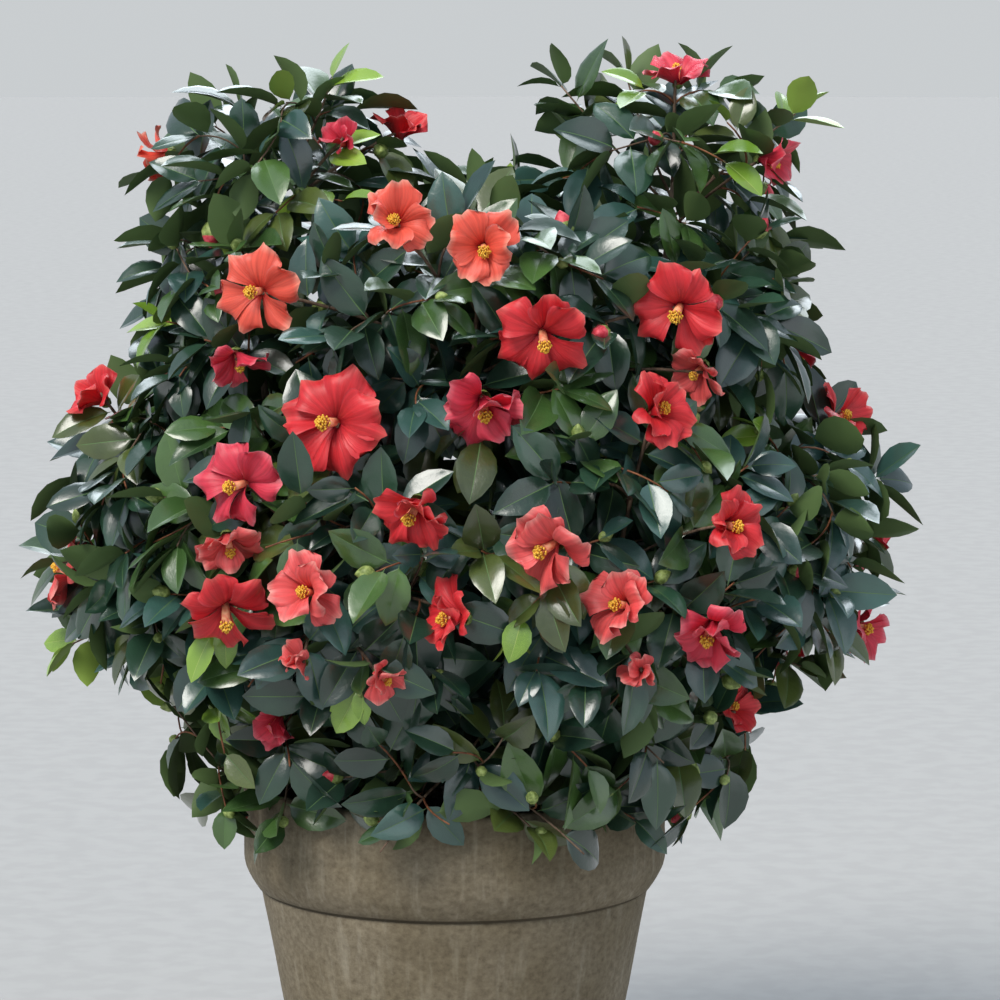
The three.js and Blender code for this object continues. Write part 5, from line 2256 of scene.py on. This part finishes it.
@dataclass
class ClayPot:
    """The round clay pot: a tapering body, a tall collar with a sloping foot, and three drain holes."""

    height: float = 350
    rim_radius: float = 200
    base_radius: float = 137
    body_top_radius: float = 184
    collar_height: float = 100
    collar_bevel: float = 24
    collar_wall: float = 20
    wall: float = 14
    floor: float = 18
    lip: float = 5
    drain_radius: float = 9
    drain_ring: float = 72
    steps: int = 144
    uneven: float = 0.55  # how far the wall strays from round
    brushed: float = 0.18  # depth of the brush marks

    def inner_radius(self, height: float) -> float:
        """The pot's inner radius at a height.

        Args:
            height: from the pot's underside.

        Returns:
            The radius.
        """
        foot = self.height - self.collar_height
        slope = (self.body_top_radius - self.base_radius) / foot
        if height <= foot:
            return self.base_radius + slope * height - self.wall
        top = self.rim_radius - self.collar_wall
        low = self.inner_radius(foot)
        return low + (top - low) * (height - foot) / self.collar_height

    def outside(self) -> list[tuple[float, float]]:
        """The outer half of the pot's section, from its foot to its lip, as radius and height.

        Returns:
            The points, upwards.
        """
        foot = self.height - self.collar_height
        base, neck, rim = self.base_radius, self.body_top_radius, self.rim_radius
        body = [(base + (neck - base) * s, foot * s) for s in np.linspace(0.04, 0.985, 16)]
        groove = [(neck - 1.8, foot - 2.0), (neck - 2.8, foot - 0.8), (neck - 2.8, foot + 0.4)]
        bevel = [
            (neck + 3 + (rim - neck - 3) * math.sin(s * math.pi / 2), foot + 1 + (self.collar_bevel + 6) * s)
            for s in np.linspace(0, 1, 7)
        ]
        line = [(rim, foot + 46), (rim - 0.9, foot + 48), (rim, foot + 50)]
        collar = [(rim, z) for z in (foot + 38, foot + 42)] + line
        collar += [(rim - 0.3 * math.sin(z / 9), z) for z in np.linspace(foot + 55, foot + 93, 8)]
        return body + groove + bevel + collar

    def outline(self) -> list[tuple[float, float]]:
        """The pot's section: radius and height, from the middle of its underside to that of its floor.

        Returns:
            The points, in order round the section.
        """
        lip, top = self.lip, self.height
        inner = self.rim_radius - self.collar_wall
        turn = [math.radians(a) for a in (0, 22, 45, 68, 90)]
        start = [(0, 0), (60, 0), (self.base_radius - 4, 0), (self.base_radius - 1, 1.2)]
        over = [(self.rim_radius - lip + lip * math.cos(a), top - lip + lip * math.sin(a)) for a in turn]
        back = [(inner + lip - lip * math.sin(a), top - lip + lip * math.cos(a)) for a in turn]
        wall = [(self.inner_radius(z), z) for z in np.linspace(top - 20, self.floor, 12)]
        return start + self.outside() + over + back + wall + [(60, self.floor), (0, self.floor)]

    def spun(self, outline: list[tuple[float, float]]) -> bmesh.types.BMesh:
        """An outline spun round the axis into a closed shape.

        Args:
            outline: radius and height of each point.

        Returns:
            The shape, closed.
        """
        mesh = bmesh.new()
        verts = [mesh.verts.new((out, 0, up)) for out, up in outline]
        edges = [mesh.edges.new(pair) for pair in zip(verts, verts[1:])]
        bmesh.ops.spin(
            mesh, geom=verts + edges, cent=(0, 0, 0), axis=(0, 0, 1), angle=2 * math.pi, steps=self.steps,
            use_merge=True, use_duplicate=False,
        )
        bmesh.ops.remove_doubles(mesh, verts=mesh.verts, dist=0.01)
        bmesh.ops.recalc_face_normals(mesh, faces=mesh.faces)
        return mesh

    def drills(self) -> bpy.types.Object:
        """The three drain holes, as a shape to cut with.

        Returns:
            The shape, which the pot removes after the cut.
        """
        mesh = bmesh.new()
        for k in range(3):
            angle = 2 * math.pi * k / 3 + math.pi / 2
            middle = (self.drain_ring * math.cos(angle), self.drain_ring * math.sin(angle), self.floor / 2)
            bmesh.ops.create_cone(
                mesh, cap_ends=True, segments=32, radius1=self.drain_radius, radius2=self.drain_radius,
                depth=self.floor * 2, matrix=Matrix.Translation(middle),
            )
        return finished(mesh, "drain_drills", [])

    def piece(self) -> bpy.types.Object:
        """The pot, slightly uneven from its making, with its drain holes cut.

        Returns:
            The piece.
        """
        mesh = self.spun(self.outline())
        for vert in mesh.verts:
            out = math.hypot(vert.co.x, vert.co.y)
            if out < self.base_radius * 0.8:
                continue
            sway = noise.noise(Vector((vert.co.x / 70, vert.co.y / 70, vert.co.z / 60)))
            marks = noise.noise(Vector((vert.co.x / 16, vert.co.y / 16, vert.co.z / 9)))
            push = self.uneven * sway + self.brushed * marks
            vert.co.x *= 1 + push / out
            vert.co.y *= 1 + push / out
        pot = finished(mesh, "clay_pot", [SlipWashedClay().material()])
        drills = self.drills()
        cut = pot.modifiers.new("drain holes", "BOOLEAN")
        cut.object = drills
        cut.operation = "DIFFERENCE"
        cut.solver = "EXACT"
        graph = bpy.context.evaluated_depsgraph_get()
        data = bpy.data.meshes.new_from_object(pot.evaluated_get(graph))
        pot.modifiers.clear()
        pot.data = data
        bpy.data.objects.remove(drills, do_unlink=True)
        return pot


@dataclass
class Compost:
    """The compost that fills the pot, with an uneven top and loose crumbs."""

    top: float = 322
    edge_drop: float = 6
    crumbs: int = 900
    gap: float = 0.6
    bed_radius: float = 168  # of the part that has crumbs on it

    def drop(self, out: float) -> float:
        """How far the top falls towards its edge."""
        return self.edge_drop * max(0, (out - 120) / 56) ** 2

    def piece(self, pot: ClayPot) -> bpy.types.Object:
        """The compost and its crumbs, joined.

        Args:
            pot: the pot that it fills.

        Returns:
            The piece.
        """
        low = pot.floor + self.gap
        heights = [low, 100, 180, pot.height - pot.collar_height, 300, self.top - self.edge_drop]
        side = [(pot.inner_radius(z) - self.gap - (3 if z > 290 else 0), z) for z in heights]
        lid = [(out, self.top - self.drop(out)) for out in np.linspace(self.bed_radius, 8, 21)]
        mesh = pot.spun([(0, low), (70, low)] + side + lid + [(0, self.top)])
        for vert in mesh.verts:
            out = math.hypot(vert.co.x, vert.co.y)
            if vert.co.z > self.top - self.edge_drop - 1 and out < self.bed_radius + 2:
                lump = noise.noise(Vector((vert.co.x / 22, vert.co.y / 22, 3)))
                fine = noise.noise(Vector((vert.co.x / 7, vert.co.y / 7, 9)))
                vert.co.z += 2.2 * lump + 1.1 * fine - 1.5
        heap = Heap()
        body = Template.of(mesh)
        heap.add_points(body, body.points)
        crumb = bmesh.new()
        bmesh.ops.create_icosphere(crumb, subdivisions=1, radius=1.0)
        grain = Template.of(crumb)
        random = Stream(41)
        for _ in range(self.crumbs):
            out = self.bed_radius * math.sqrt(random.next())
            angle = random.between(0, 2 * math.pi)
            height = self.top - self.drop(out) + random.between(-1.5, 0.5)
            place = vec(out * math.cos(angle), out * math.sin(angle), height)
            turn = turned(np.eye(3), unit(random.push(2)), random.between(0, 6))
            size = random.between(1.2, 3.6)
            sizes = (size, size * random.between(0.5, 1), size * random.between(0.3, 0.8))
            heap.add(grain, place, turn, sizes)
        return heap.piece("bark_compost", [DampCompost().material()])


# Studio and camera


@dataclass
class Studio:
    """The plain floor, the soft lights and the camera at the photograph's angle."""

    floor_radius: float = 40000
    eye: tuple[float, float, float] = (43, -4200, 1100)
    pitch: float = 6.57
    lens: float = 161.4
    zenith: Colour = (0.44, 0.5, 0.6, 1.0)
    horizon: Colour = (0.587, 0.613, 0.629, 1.0)  # nearly as light as the far floor
    haze: float = 0.35  # sine of the height from which the sky is as overhead

    def floor(self) -> bpy.types.Object:
        """The floor, a flat disc that reaches past every view.

        Returns:
            The floor.
        """
        mesh = bmesh.new()
        bmesh.ops.create_circle(mesh, cap_ends=True, segments=96, radius=self.floor_radius)
        return finished(mesh, "floor", [PaleFloor().material()])

    def sky(self) -> bpy.types.World:
        """A plain sky, a little bluer overhead than at the horizon.

        Returns:
            The sky.
        """
        world = bpy.data.worlds.new("pale_studio")
        world.use_nodes = True
        tree = world.node_tree
        way = add_node(tree, "ShaderNodeTexCoord").outputs["Generated"]
        parts = add_node(tree, "ShaderNodeSeparateXYZ", {0: way})
        limits = {"Value": parts.outputs["Z"], "From Min": 0.0, "From Max": self.haze}
        height = add_node(tree, "ShaderNodeMapRange", limits, interpolation_type="SMOOTHSTEP")
        inputs = {0: height, 6: self.horizon, 7: self.zenith}
        colour = add_node(tree, "ShaderNodeMix", inputs, data_type="RGBA")
        tree.links.new(colour.outputs[2], tree.nodes["Background"].inputs["Color"])
        return world

    def light(self, name: str, way: tuple, width: float, power: float, colour: tuple) -> None:
        """Adds a soft light that comes from one direction, with the same strength all over the floor.

        Args:
            name: its name.
            way: the direction that it shines in.
            width: how wide it looks, in radians.
            power: in watts for each square metre.
            colour: its linear colour.
        """
        data = bpy.data.lights.new(name, "SUN")
        data.angle = width
        data.energy = power
        data.color = colour
        lamp = bpy.data.objects.new(name, data)
        lamp.rotation_euler = Vector(way).to_track_quat("-Z", "Y").to_euler()
        bpy.context.scene.collection.objects.link(lamp)

    def build(self) -> None:
        """Sets the floor, the sky, the lights, the colour handling and the camera."""
        scene = bpy.context.scene
        self.floor()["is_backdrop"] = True
        scene.world = self.sky()
        self.light("key", (1.7, 2.2, -3.0), 0.55, 3.0, (1.0, 0.96, 0.9))
        self.light("fill", (-2.6, 2.8, -1.0), 0.7, 0.24, (0.95, 0.98, 1.0))
        self.light("sheen", (-0.2, -1.9, -2.1), 0.86, 2.3, (0.86, 0.94, 1.0))
        scene.view_settings.view_transform = "Standard"
        scene.view_settings.look = "None"
        data = bpy.data.cameras.new("camera")
        data.lens = self.lens
        data.sensor_width = 36
        data.clip_end = 200
        camera = bpy.data.objects.new("camera", data)
        camera.location = Vector(self.eye) * MM
        camera.rotation_euler = (math.radians(90 - self.pitch), 0, 0)
        scene.collection.objects.link(camera)
        scene.camera = camera


def ride(piece: bpy.types.Object, replaced: Sequence[str] = ()) -> None:
    """Puts a piece on the plant's body and the solids that it stands for.

    Args:
        piece: the finished piece.
        replaced: the names of the solids that it stands for.
    """
    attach(piece, "root")
    if replaced:
        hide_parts(*replaced)
    faces = sum(len(face.vertices) - 2 for face in piece.data.polygons)
    LOG.info("%s: %d triangles, stands for %d solids", piece.name, faces, len(replaced))


def main() -> None:
    """Builds the plant and its studio, piece by piece."""
    logging.basicConfig(level=logging.INFO, format="%(message)s")
    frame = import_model()
    cad_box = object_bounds()
    limits = (np.array(cad_box[0]) / MM - ROOM, np.array(cad_box[1]) / MM + ROOM)
    pot = ClayPot()
    compost = Compost()
    plan = CrownPlan(pot, compost)
    ride(pot.piece(), ["pot"])
    ride(compost.piece(pot), ["compost"])
    for piece, replaced in Woodwork(plan).pieces():
        ride(piece, replaced)
    twigwork = Twigwork(plan, limits)
    twigwork.grow()
    foliage = [name for name in frame["nodes"] if name.startswith("foliage_")]
    woody, young = twigwork.pieces()
    ride(woody, foliage)
    ride(young)
    for piece in Leafwork(plan, twigwork.twigs, limits).pieces():
        ride(piece)
    for piece in Flowerwork(plan.bloom_knots()).pieces() + Budwork(plan, twigwork.twigs).pieces():
        ride(piece)
    Studio().build()


if __name__ == "__main__":
    main()
